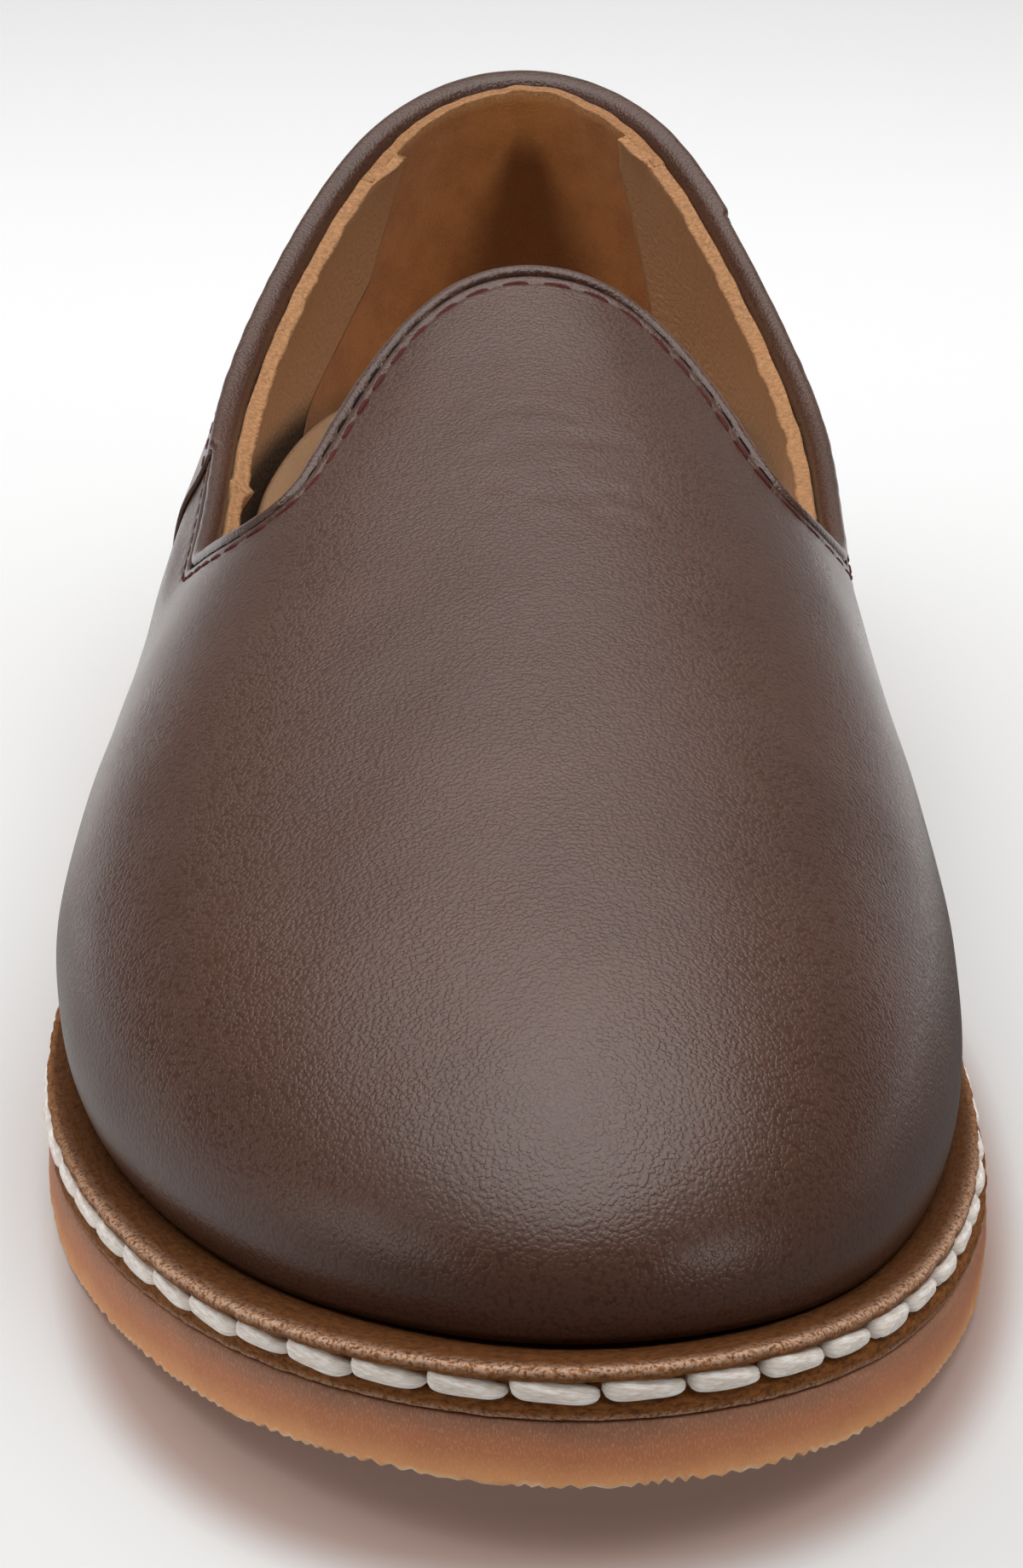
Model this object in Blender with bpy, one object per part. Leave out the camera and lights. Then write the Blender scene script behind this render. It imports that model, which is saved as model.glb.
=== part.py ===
"""Slip-on shoe for the right foot: upper, quarter, binding, insole, midsole and outsole.

Frame: metres, +Z up, toe towards -Y, inner side of the foot towards +X. Tables are in millimetres.
The upper is a ring of cubic ribs. Each rib rises from the feather line on the midsole to the top of the last,
and one closed spline through the stations below carries every size of a rib round the shoe.
"""
import bpy
import bmesh
import numpy as np

MM = 0.001

# Stations round the shoe, from the heel along the outer side to the toe and back along the inner side.
# edge: sole outline; ledge: edge to feather line; lip: how far the midsole's lip stands past the edge;
# belly: first handle of the rib, out and up from the feather; crown: second handle; top: end of the rib.
STATION_COLUMNS = ("edge_x", "edge_y", "ledge", "lip", "belly_out", "belly_up",
                   "crown_x", "crown_y", "crown_z", "top_x", "top_y", "top_z")
STATIONS = {
    "heel_back":    (1.5, 146.8, 4.3, 0.3, 4.0, 18.0, 1.5, 144.0, 60.0, 1.5, 138.5, 80.0),
    "heel_outer":   (-27.0, 130.0, 4.3, 0.3, 4.5, 17.0, -21.5, 129.5, 58.0, -17.0, 126.8, 76.0),
    "seat_outer":   (-39.0, 98.0, 4.4, 0.3, 5.0, 15.0, -35.7, 98.0, 48.0, -30.0, 98.0, 64.5),
    "waist_outer":  (-43.5, 55.0, 4.5, 0.3, 6.0, 13.0, -41.5, 57.0, 42.0, -37.3, 56.0, 52.5),
    "shank_outer":  (-47.0, 12.0, 4.5, 0.3, 7.0, 13.0, -43.7, 20.0, 41.0, -31.0, 31.0, 56.5),
    "ball_outer":   (-50.5, -40.0, 4.5, 0.3, 9.0, 14.0, -44.5, -12.0, 43.0, -22.8, 27.5, 65.5),
    "joint_outer":  (-48.8, -76.0, 4.5, 0.0, 11.0, 16.0, -42.5, -32.0, 47.0, -15.5, 26.5, 74.0),
    "corner_outer": (-36.2, -110.0, 4.2, 0.9, 10.5, 20.0, -33.0, -52.0, 51.5, -9.2, 26.0, 79.5),
    "toe_outer":    (-16.0, -136.2, 4.3, 2.0, 8.5, 25.0, -12.0, -62.0, 52.5, -3.5, 26.0, 81.7),
    "toe_tip":      (6.0, -145.5, 4.3, 1.6, 9.0, 27.0, 4.5, -64.0, 52.5, 2.2, 26.0, 82.3),
    "toe_inner":    (27.0, -136.7, 4.3, 0.5, 8.5, 25.0, 19.5, -62.0, 52.0, 7.7, 26.0, 81.5),
    "corner_inner": (42.6, -112.7, 4.4, -0.4, 7.0, 20.0, 32.0, -54.0, 51.5, 13.3, 26.5, 78.7),
    "joint_inner":  (50.2, -78.0, 4.5, -1.0, 6.7, 16.0, 39.5, -34.0, 49.5, 21.0, 27.0, 73.5),
    "ball_inner":   (48.2, -38.0, 4.5, -0.8, 6.7, 14.0, 42.5, -12.0, 47.0, 28.5, 28.0, 66.0),
    "shank_inner":  (43.5, 12.0, 4.5, -0.2, 6.0, 13.0, 43.7, 20.0, 44.0, 36.7, 31.0, 57.0),
    "waist_inner":  (40.5, 55.0, 4.5, 0.3, 6.0, 13.0, 43.2, 57.0, 42.0, 40.0, 56.0, 52.5),
    "seat_inner":   (40.0, 98.0, 4.4, 0.3, 5.5, 15.0, 38.0, 98.0, 48.0, 31.5, 98.0, 64.5),
    "heel_inner":   (29.5, 130.0, 4.3, 0.3, 4.5, 17.0, 24.0, 129.5, 58.0, 19.5, 126.8, 76.0),
}

# Sole
RUBBER = 7.0
MIDSOLE = 6.2
INSOLE = 2.5
CUP_RISE = 10.5
CUP_FROM_Y = 35.0
CUP_FULL_Y = 82.0
CUP_PROFILE = ((0.0, 0.95), (1.2, 1.0), (5.5, 0.0))
TOE_Y = -146.0
TOE_SPRING = 8.0
SPRING_FROM_Y = -78.0
SPRING_POWER = 1.8
HEEL_RISE = 8.0
ARCH_FROM_Y = -20.0
ARCH_TO_Y = 75.0
HEEL_BREAST_Y = 70.0
BREAST_SLOPE = 1.5

# Side profiles of the sole pieces, bottom to top: inset from the edge, share of the lip, height
OUTSOLE_BOTTOM_PROFILE = ((0.7, 0.0), (0.0, 0.8))
OUTSOLE_TOP_PROFILE = ((0.0, RUBBER - 0.7), (0.5, RUBBER))
MIDSOLE_PROFILE = (
    # inset, lip, height above the outsole
    (0.6, 0.0, 0.3),
    (0.1, 0.0, 0.6),
    (0.1, 0.0, 1.5),
    (1.5, 0.0, 1.8),
    (1.5, 0.2, 4.3),
    (0.0, 1.0, 4.7),
    (0.0, 1.0, 5.5),
    (0.7, 1.0, MIDSOLE),
)

# Upper
WALL = 2.0
GAP = 0.3
BINDING = 2.6
BINDING_PROFILE = (
    # share of the binding's height, offset from the outer skin
    (0.0, 0.35),
    (0.55, 0.5),
    (0.9, 0.0),
    (1.0, -1.0),
    (0.9, -2.0),
    (0.55, -2.5),
    (0.0, -2.35),
)
QUARTER_THICK = 0.8
QUARTER_FLARE = 1.2
FLARE_SPAN = 12.0
QUARTER_OUTER_Y = 46.0
QUARTER_INNER_Y = 105.0
QUARTER_FOOT = 0.03
QUARTER_HEAD = 0.985

# Collar line: side view of the quarter's top edge, and plan view of the vamp's top edge with its tongue tab
COLLAR_LINE = (
    # y, z
    (-60.0, 44.0),
    (12.0, 47.0),
    (48.0, 50.0),
    (75.0, 56.5),
    (113.0, 70.8),
    (139.0, 80.0),
    (160.0, 86.0),
)
THROAT_LINE = (
    # x, y
    (-60.0, 110.0),
    (-46.0, 46.0),
    (-40.0, 17.5),
    (-36.6, 4.9),
    (-33.0, -6.6),
    (-29.6, -12.0),
    (-27.3, -13.3),
    (-25.0, -11.4),
    (-22.0, -4.0),
    (-19.0, 3.6),
    (-15.3, 10.7),
    (-10.5, 16.5),
    (-5.5, 19.6),
    (1.0, 20.8),
    (8.0, 20.5),
    (13.0, 19.8),
    (18.0, 17.5),
    (22.7, 12.5),
    (27.4, 4.8),
    (30.6, -0.9),
    (32.8, -2.2),
    (35.0, -0.5),
    (37.3, 3.5),
    (40.2, 11.2),
    (44.0, 26.0),
    (60.0, 100.0),
)
CORNER_SOFTNESS = 0.7

# The ribs lean back towards the top on the outer side of the tongue, to cross its edge
LEAN = 20.0
LEAN_AT = 262.0
LEAN_SPAN = 34.0
LEAN_FROM_V = 0.6

# Mesh
UPPER_COLUMNS = 108
EDGE_STEPS = 2000
CORNER_COLUMNS = (-5.0, -2.2, 0.0, 2.2, 5.0)
COLUMN_CLEAR = 1.0
OUTER_ROWS = 17
INNER_ROWS = 11
ROW_POWER = 1.2
QUARTER_ROWS = 8
HEEL_ROWS = 9
WAIST_ROWS = 13
TOE_ROWS = 12
SEARCH_STEPS = 6000
RIB_STEPS = 500
SEARCH_FROM_V = 0.3
REACH_S = 0.5
REACH_V = 0.002
SHARP_ANGLE = 40.0


def smoothstep(t):
    """Three t squared less two t cubed, held at 0 and 1."""
    t = np.clip(t, 0.0, 1.0)
    return t * t * (3.0 - 2.0 * t)


def open_spline(rows):
    """Natural cubic spline y(x) through rows of x, y."""
    x, y = np.array(rows, float).T
    step = np.diff(x)
    count = len(x)
    system = np.eye(count)
    slope = np.diff(y) / step
    right = np.zeros(count)
    for i in range(1, count - 1):
        system[i, i - 1:i + 2] = step[i - 1], 2.0 * (step[i - 1] + step[i]), step[i]
        right[i] = 6.0 * (slope[i] - slope[i - 1])
    bend = np.linalg.solve(system, right)

    def value(at):
        i = np.clip(np.searchsorted(x, at) - 1, 0, count - 2)
        b = (at - x[i]) / step[i]
        a = 1.0 - b
        cubic = (a ** 3 - a) * bend[i] + (b ** 3 - b) * bend[i + 1]
        return a * y[i] + b * y[i + 1] + cubic * step[i] ** 2 / 6.0

    return value


class StationRing:
    """Closed cubic spline through all station columns, over the length of the sole's outline polygon."""

    def __init__(self, stations):
        self.values = np.array(list(stations.values()), float)
        edge = self.values[:, :2]
        self.step = np.linalg.norm(np.roll(edge, -1, 0) - edge, axis=1)
        self.start = np.concatenate([[0.0], np.cumsum(self.step)])
        self.length = self.start[-1]
        count = len(self.step)
        system = np.zeros((count, count))
        for i in range(count):
            system[i, i - 1] += self.step[i - 1]
            system[i, i] += 2.0 * (self.step[i - 1] + self.step[i])
            system[i, (i + 1) % count] += self.step[i]
        slope = (np.roll(self.values, -1, 0) - self.values) / self.step[:, None]
        self.bend = np.linalg.solve(system, 6.0 * (slope - np.roll(slope, 1, 0)))

    def __call__(self, s):
        """All columns at outline length s."""
        s = np.mod(np.asarray(s, float), self.length)
        i = np.clip(np.searchsorted(self.start, s, side="right") - 1, 0, len(self.step) - 1)
        j = (i + 1) % len(self.step)
        step = self.step[i][..., None]
        b = (s - self.start[i])[..., None] / step
        a = 1.0 - b
        cubic = (a ** 3 - a) * self.bend[i] + (b ** 3 - b) * self.bend[j]
        return a * self.values[i] + b * self.values[j] + cubic * step ** 2 / 6.0


RING = StationRing(STATIONS)
collar_z = open_spline(COLLAR_LINE)
throat_y = open_spline(THROAT_LINE)


def column(s, name):
    """One station column at outline length s."""
    return RING(s)[..., STATION_COLUMNS.index(name)]


def outward(s):
    """Unit normal of the sole's outline in plan."""
    along = RING(s + REACH_S)[..., :2] - RING(s - REACH_S)[..., :2]
    along /= np.linalg.norm(along, axis=-1, keepdims=True)
    return np.stack([along[..., 1], -along[..., 0]], -1)


def outline(s, inset):
    """Plan point of the sole's outline, moved in by inset."""
    return RING(s)[..., :2] - outward(s) * np.asarray(inset)[..., None]


def sheet_z(y):
    """Underside of the rubber sheet: flat under the ball, sprung at the toe, raised from arch to heel."""
    toe = np.clip((SPRING_FROM_Y - y) / (SPRING_FROM_Y - TOE_Y), 0.0, None)
    arch = smoothstep((y - ARCH_FROM_Y) / (ARCH_TO_Y - ARCH_FROM_Y))
    return TOE_SPRING * toe ** SPRING_POWER + HEEL_RISE * arch


def midsole_top_z(y):
    """Top face of the midsole."""
    return sheet_z(y) + RUBBER + MIDSOLE


def skin(s, v):
    """Outer skin of the upper: a cubic rib at s, from the feather at v = 0 to the top of the rib at v = 1."""
    s, v = np.broadcast_arrays(np.asarray(s, float), np.asarray(v, float))
    lean = LEAN * np.exp(-((s - LEAN_AT) / LEAN_SPAN) ** 2)
    s = s - lean * smoothstep((v - LEAN_FROM_V) / (1.0 - LEAN_FROM_V))
    out = outward(s)
    feather = outline(s, column(s, "ledge"))
    foot_z = midsole_top_z(feather[..., 1]) + GAP
    foot = np.concatenate([feather, foot_z[..., None]], -1)
    handle = np.concatenate([out * column(s, "belly_out")[..., None], column(s, "belly_up")[..., None]], -1)
    belly = foot + handle
    stations = RING(s)
    crown = stations[..., 6:9]
    top = stations[..., 9:12]
    v = v[..., None]
    a = 1.0 - v
    return a ** 3 * foot + 3.0 * a * a * v * belly + 3.0 * a * v * v * crown + v ** 3 * top


def skin_normal(s, v):
    """Unit normal of the outer skin, pointing out of the shoe."""
    along = skin(s + REACH_S, v) - skin(s - REACH_S, v)
    rise = skin(s, v + REACH_V) - skin(s, v - REACH_V)
    normal = np.cross(along, rise)
    return normal / np.linalg.norm(normal, axis=-1, keepdims=True)


def behind_throat(point):
    """Plan distance behind the vamp's top edge: the y past it, less by the edge's slope there."""
    x = point[..., 0]
    slope = (throat_y(x + REACH_S) - throat_y(x - REACH_S)) / (2.0 * REACH_S)
    return (point[..., 1] - throat_y(x)) / np.hypot(1.0, slope)


def opening_depth(point):
    """How far a skin point lies inside the foot opening: behind the throat and above the collar."""
    behind = behind_throat(point)
    above = point[..., 2] - collar_z(point[..., 1])
    low = np.minimum(behind, above)
    spread = np.exp(-(behind - low) / CORNER_SOFTNESS) + np.exp(-(above - low) / CORNER_SOFTNESS)
    return low - CORNER_SOFTNESS * np.log(spread)


def edge_v(s, level):
    """Place on each rib where the opening depth first passes a level: 0 at the top edge, less below."""
    v = np.linspace(SEARCH_FROM_V, 1.0, RIB_STEPS)
    depth = opening_depth(skin(s[:, None], v[None, :])) - level
    passed = depth > 0.0
    hit = np.where(passed.any(1), passed.argmax(1), len(v) - 1)
    row = np.arange(len(s))
    share = depth[row, hit - 1] / (depth[row, hit - 1] - depth[row, hit])
    return v[hit - 1] + np.clip(share, 0.0, 1.0) * (v[hit] - v[hit - 1])


def corner_places():
    """Outline lengths of the two collar corners, where throat and collar cut the skin alike."""
    s = np.linspace(0.0, RING.length, SEARCH_STEPS)
    point = skin(s, edge_v(s, 0.0))
    lead = behind_throat(point) - (point[:, 2] - collar_z(point[:, 1]))
    change = np.nonzero(np.diff(np.sign(lead)))[0]
    return s[change]


def place_at_y(y, outer):
    """Outline length where the sole's edge has this y, on the outer or the inner side."""
    s = np.linspace(-0.25 * RING.length, 1.25 * RING.length, SEARCH_STEPS)
    edge_y = column(s, "edge_y")
    heel = np.argmax(np.where(s < 0.25 * RING.length, edge_y, -np.inf))
    toe = np.argmin(np.where((s > 0.0) & (s < RING.length), edge_y, np.inf))
    heel_again = np.argmax(np.where(s > 0.75 * RING.length, edge_y, -np.inf))
    if outer:
        return np.interp(-np.asarray(y), -edge_y[heel:toe + 1], s[heel:toe + 1])
    return np.interp(y, edge_y[toe:heel_again + 1], s[toe:heel_again + 1])


def plate_columns():
    """Outline lengths and row y of a plate's ring: heel, outer side, toe, inner side, in pairs of one y."""
    edge_y = column(np.linspace(0.0, RING.length, SEARCH_STEPS), "edge_y")
    turn = np.linspace(0.0, np.pi / 2.0, HEEL_ROWS + 1)
    heel_start = HEEL_BREAST_Y + BREAST_SLOPE
    heel = heel_start + (edge_y.max() - heel_start) * np.cos(turn)
    waist = np.linspace(HEEL_BREAST_Y, SPRING_FROM_Y, WAIST_ROWS)
    turn = np.linspace(0.0, np.pi / 2.0, TOE_ROWS + 1)[1:]
    toe = SPRING_FROM_Y + (edge_y.min() - SPRING_FROM_Y) * np.sin(turn)
    rows = np.concatenate([heel, waist, toe])
    outer = place_at_y(rows, True)
    inner = place_at_y(rows[1:-1][::-1], False)
    return np.concatenate([outer, inner]), np.concatenate([rows, rows[1:-1][::-1]])


def upper_columns():
    """Outline lengths of the ribs: even steps of outline and top edge together, closer at the corners."""
    corners = corner_places()
    fine = np.linspace(0.0, RING.length, EDGE_STEPS)
    edge = skin(fine, edge_v(fine, 0.0))
    travel = fine + np.concatenate([[0.0], np.cumsum(np.linalg.norm(np.diff(edge, axis=0), axis=-1))])
    s = np.interp(np.linspace(0.0, travel[-1], UPPER_COLUMNS, endpoint=False), travel, fine)
    for corner in corners:
        s = s[np.abs(s - corner) > CORNER_COLUMNS[-1] + COLUMN_CLEAR]
    extra = (corners[:, None] + np.array(CORNER_COLUMNS)[None, :]).ravel()
    return np.sort(np.concatenate([s, extra]))


def paint(name, colour, roughness):
    """A plain leather or rubber material."""
    material = bpy.data.materials.new(name)
    material.use_nodes = True
    shader = material.node_tree.nodes["Principled BSDF"]
    shader.inputs["Base Color"].default_value = (*colour, 1.0)
    shader.inputs["Roughness"].default_value = roughness
    shader.inputs["Metallic"].default_value = 0.0
    return material


def add_solid(name, points, faces, material):
    """One closed object from points in millimetres, with its faces turned outwards."""
    mesh = bpy.data.meshes.new(name)
    mesh.from_pydata((points * MM).tolist(), [], faces)
    work = bmesh.new()
    work.from_mesh(mesh)
    if work.calc_volume(signed=True) < 0.0:
        bmesh.ops.reverse_faces(work, faces=work.faces)
    work.to_mesh(mesh)
    work.free()
    mesh.materials.append(material)
    mesh.shade_smooth()
    mesh.set_sharp_from_angle(angle=np.radians(SHARP_ANGLE))
    thing = bpy.data.objects.new(name, mesh)
    bpy.context.scene.collection.objects.link(thing)
    return thing


def tube_faces(columns, rows):
    """Faces of a grid that closes both ways."""
    faces = []
    for i in range(columns):
        ahead = (i + 1) % columns
        for j in range(rows):
            above = (j + 1) % rows
            faces.append((i * rows + j, ahead * rows + j, ahead * rows + above, i * rows + above))
    return faces


def shell_faces(columns, rows):
    """Faces of a grid that closes along its rows only, with both end loops filled."""
    faces = []
    for i in range(columns - 1):
        for j in range(rows):
            above = (j + 1) % rows
            faces.append((i * rows + j, (i + 1) * rows + j, (i + 1) * rows + above, i * rows + above))
    half = rows // 2
    for start, way in ((0, 1), ((columns - 1) * rows, -1)):
        for j in range(half - 1):
            rung = (start + j, start + j + 1, start + rows - 2 - j, start + rows - 1 - j)
            faces.append(rung[::way])
    return faces


def plate_faces(rings, columns):
    """Faces of stacked rings: walls between them, and a ladder of rungs over the first and the last ring."""
    faces = []
    for k in range(rings - 1):
        for i in range(columns):
            ahead = (i + 1) % columns
            low = k * columns
            high = low + columns
            faces.append((low + i, low + ahead, high + ahead, high + i))
    half = columns // 2
    for start, way in ((0, -1), ((rings - 1) * columns, 1)):
        faces.append((start, start + 1, start + columns - 1)[::way])
        for i in range(1, half - 1):
            rung = (start + i, start + i + 1, start + columns - i - 1, start + columns - i)
            faces.append(rung[::way])
        faces.append((start + half - 1, start + half, start + half + 1)[::way])
    return faces


def ring_points(s, inset, height):
    """One ring of a plate: plan point moved in by inset, at a height above the rubber sheet's underside."""
    plan = outline(s, inset + np.zeros_like(s))
    z = sheet_z(plan[:, 1]) + height
    return np.concatenate([plan, z[:, None]], 1)


def make_outsole(material):
    """Rubber sheet with toe spring and arch, and a low heel that stands on the floor."""
    s, row_y = plate_columns()
    on_heel = row_y > HEEL_BREAST_Y + 0.5 * BREAST_SLOPE
    rings = []
    for inset, height in OUTSOLE_BOTTOM_PROFILE:
        ring = ring_points(s, inset, height)
        ring[:, 2] = np.where(on_heel, height, ring[:, 2])
        rings.append(ring)
    rings += [ring_points(s, inset, height) for inset, height in OUTSOLE_TOP_PROFILE]
    return add_solid("outsole", np.concatenate(rings), plate_faces(len(rings), len(s)), material)


def make_midsole(material):
    """Leather midsole: lower strip, stitch channel and lip round its side."""
    s, _ = plate_columns()
    lip = column(s, "lip")
    rings = [ring_points(s, inset - share * lip, RUBBER + height) for inset, share, height in MIDSOLE_PROFILE]
    return add_solid("midsole", np.concatenate(rings), plate_faces(len(rings), len(s)), material)


def make_insole(material):
    """Leather sock on the midsole, just inside the upper's wall, with a raised rim that cups the heel."""
    s, row_y = plate_columns()
    inset = column(s, "ledge") + WALL + 2.0 * GAP
    seat = RUBBER + MIDSOLE + GAP
    cup = CUP_RISE * smoothstep((row_y - CUP_FROM_Y) / (CUP_FULL_Y - CUP_FROM_Y))
    rings = [ring_points(s, inset, seat)]
    rings += [ring_points(s, inset + more, seat + INSOLE + share * cup) for more, share in CUP_PROFILE]
    return add_solid("insole", np.concatenate(rings), plate_faces(len(rings), len(s)), material)


def make_upper(material):
    """Hollow lasted upper: outer skin, rim under the binding, inner skin, and the foot rim on the midsole."""
    s = upper_columns()
    rim = edge_v(s, -BINDING)
    outer_v = rim[:, None] * np.linspace(0.0, 1.0, OUTER_ROWS)[None, :] ** ROW_POWER
    inner_v = rim[:, None] * np.linspace(1.0, 0.0, INNER_ROWS)[None, :] ** ROW_POWER
    outer = skin(s[:, None], outer_v)
    inner = skin(s[:, None], inner_v) - WALL * skin_normal(s[:, None], inner_v)
    inner[:, -1, 2] = midsole_top_z(inner[:, -1, 1]) + GAP
    points = np.concatenate([outer, inner], 1)
    return add_solid("upper", points.reshape(-1, 3), tube_faces(len(s), points.shape[1]), material)


def make_binding(material):
    """Rolled binding that sits on the upper's rim and ends at the collar line."""
    s = upper_columns()
    foot = edge_v(s, GAP - BINDING)
    top = edge_v(s, 0.0)
    loops = []
    for share, offset in BINDING_PROFILE:
        v = foot + share * (top - foot)
        loops.append(skin(s, v) + offset * skin_normal(s, v))
    points = np.stack(loops, 1)
    faces = tube_faces(len(s), len(BINDING_PROFILE))
    return add_solid("topline_binding", points.reshape(-1, 3), faces, material)


def make_quarter(material):
    """Rear overlay on the upper between the two side seams; its outer front edge stands off a little."""
    first = place_at_y(QUARTER_INNER_Y, False) - RING.length
    last = place_at_y(QUARTER_OUTER_Y, True)
    s = upper_columns()
    s = np.concatenate([s - RING.length, s])
    s = s[(s > first + COLUMN_CLEAR) & (s < last - COLUMN_CLEAR)]
    s = np.concatenate([[first], s, [last]])
    rim = edge_v(s, -BINDING)
    share = np.linspace(0.0, 1.0, QUARTER_ROWS)[None, :]
    v = rim[:, None] * (QUARTER_FOOT + share * (QUARTER_HEAD - QUARTER_FOOT))
    flare = np.exp(-((last - s[:, None]) / FLARE_SPAN) ** 2) * np.sin(np.pi * share)
    thick = QUARTER_THICK + QUARTER_FLARE * flare
    normal = skin_normal(s[:, None], v)
    under = skin(s[:, None], v) + GAP * normal
    over = skin(s[:, None], v) + (GAP + thick)[..., None] * normal
    points = np.concatenate([over, under[:, ::-1]], 1)
    return add_solid("quarter", points.reshape(-1, 3), shell_faces(len(s), points.shape[1]), material)


def main():
    for thing in list(bpy.data.objects):
        bpy.data.objects.remove(thing, do_unlink=True)
    brown = paint("brown_leather", (0.075, 0.042, 0.031), 0.42)
    edge_leather = paint("edge_leather", (0.13, 0.066, 0.034), 0.75)
    tan = paint("tan_leather", (0.30, 0.19, 0.11), 0.8)
    gum = paint("gum_rubber", (0.36, 0.15, 0.065), 0.45)
    make_outsole(gum)
    make_midsole(edge_leather)
    make_insole(tan)
    make_upper(brown)
    make_quarter(brown)
    make_binding(brown)


main()
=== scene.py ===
"""Looks of the slip-on shoe for the right foot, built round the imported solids.

Shapes are worked out in millimetres from the stations and profiles of the solids, and scaled to metres last.
Frame: +Z up, toe towards -Y, inner side of the foot towards +X.
"""
import math
import bpy
import numpy as np
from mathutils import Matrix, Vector


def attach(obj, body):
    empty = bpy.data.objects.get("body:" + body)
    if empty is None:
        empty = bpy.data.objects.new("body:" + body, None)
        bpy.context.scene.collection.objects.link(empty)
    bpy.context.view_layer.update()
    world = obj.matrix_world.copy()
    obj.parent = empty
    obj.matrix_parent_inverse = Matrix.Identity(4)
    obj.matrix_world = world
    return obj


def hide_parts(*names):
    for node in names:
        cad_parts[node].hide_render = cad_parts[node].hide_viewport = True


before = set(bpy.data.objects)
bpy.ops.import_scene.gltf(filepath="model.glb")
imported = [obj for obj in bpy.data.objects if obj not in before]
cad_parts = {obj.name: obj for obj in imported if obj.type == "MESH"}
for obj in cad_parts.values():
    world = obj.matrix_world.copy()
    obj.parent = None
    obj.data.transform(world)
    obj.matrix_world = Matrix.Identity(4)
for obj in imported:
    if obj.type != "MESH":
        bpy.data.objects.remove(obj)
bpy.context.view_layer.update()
MM = 0.001

# Stations round the shoe, from the heel along the outer side to the toe and back along the inner side.
# edge: sole outline; ledge: edge to feather line; lip: how far the midsole's lip stands past the edge;
# belly: first handle of the rib, out and up from the feather; crown: second handle; top: end of the rib.
STATION_COLUMNS = ("edge_x", "edge_y", "ledge", "lip", "belly_out", "belly_up",
                   "crown_x", "crown_y", "crown_z", "top_x", "top_y", "top_z")
STATIONS = {
    "heel_back":    (1.5, 146.8, 4.3, 0.3, 4.0, 18.0, 1.5, 144.0, 60.0, 1.5, 138.5, 80.0),
    "heel_outer":   (-27.0, 130.0, 4.3, 0.3, 4.5, 17.0, -21.5, 129.5, 58.0, -17.0, 126.8, 76.0),
    "seat_outer":   (-39.0, 98.0, 4.4, 0.3, 5.0, 15.0, -35.7, 98.0, 48.0, -30.0, 98.0, 64.5),
    "waist_outer":  (-43.5, 55.0, 4.5, 0.3, 6.0, 13.0, -41.5, 57.0, 42.0, -37.3, 56.0, 52.5),
    "shank_outer":  (-47.0, 12.0, 4.5, 0.3, 7.0, 13.0, -43.7, 20.0, 41.0, -31.0, 31.0, 56.5),
    "ball_outer":   (-50.5, -40.0, 4.5, 0.3, 9.0, 14.0, -44.5, -12.0, 43.0, -22.8, 27.5, 65.5),
    "joint_outer":  (-48.8, -76.0, 4.5, 0.0, 11.0, 16.0, -42.5, -32.0, 47.0, -15.5, 26.5, 74.0),
    "corner_outer": (-36.2, -110.0, 4.2, 0.9, 10.5, 20.0, -33.0, -52.0, 51.5, -9.2, 26.0, 79.5),
    "toe_outer":    (-16.0, -136.2, 4.3, 2.0, 8.5, 25.0, -12.0, -62.0, 52.5, -3.5, 26.0, 81.7),
    "toe_tip":      (6.0, -145.5, 4.3, 1.6, 9.0, 27.0, 4.5, -64.0, 52.5, 2.2, 26.0, 82.3),
    "toe_inner":    (27.0, -136.7, 4.3, 0.5, 8.5, 25.0, 19.5, -62.0, 52.0, 7.7, 26.0, 81.5),
    "corner_inner": (42.6, -112.7, 4.4, -0.4, 7.0, 20.0, 32.0, -54.0, 51.5, 13.3, 26.5, 78.7),
    "joint_inner":  (50.2, -78.0, 4.5, -1.0, 6.7, 16.0, 39.5, -34.0, 49.5, 21.0, 27.0, 73.5),
    "ball_inner":   (48.2, -38.0, 4.5, -0.8, 6.7, 14.0, 42.5, -12.0, 47.0, 28.5, 28.0, 66.0),
    "shank_inner":  (43.5, 12.0, 4.5, -0.2, 6.0, 13.0, 43.7, 20.0, 44.0, 36.7, 31.0, 57.0),
    "waist_inner":  (40.5, 55.0, 4.5, 0.3, 6.0, 13.0, 43.2, 57.0, 42.0, 40.0, 56.0, 52.5),
    "seat_inner":   (40.0, 98.0, 4.4, 0.3, 5.5, 15.0, 38.0, 98.0, 48.0, 31.5, 98.0, 64.5),
    "heel_inner":   (29.5, 130.0, 4.3, 0.3, 4.5, 17.0, 24.0, 129.5, 58.0, 19.5, 126.8, 76.0),
}
EDGE = slice(0, 2)
LEDGE = slice(2, 3)
BELLY_OUT = slice(4, 5)
BELLY_UP = slice(5, 6)
CROWN = slice(6, 9)
TOP = slice(9, 12)

# Sole
RUBBER = 7.0
MIDSOLE = 6.2
INSOLE = 2.5
TOE_Y = -146.0
TOE_SPRING = 8.0
SPRING_FROM_Y = -78.0
SPRING_POWER = 1.8
HEEL_RISE = 8.0
ARCH_FROM_Y = -20.0
ARCH_TO_Y = 75.0
HEEL_BREAST_Y = 70.0
BREAST_SLOPE = 1.5
GAP = 0.3

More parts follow.
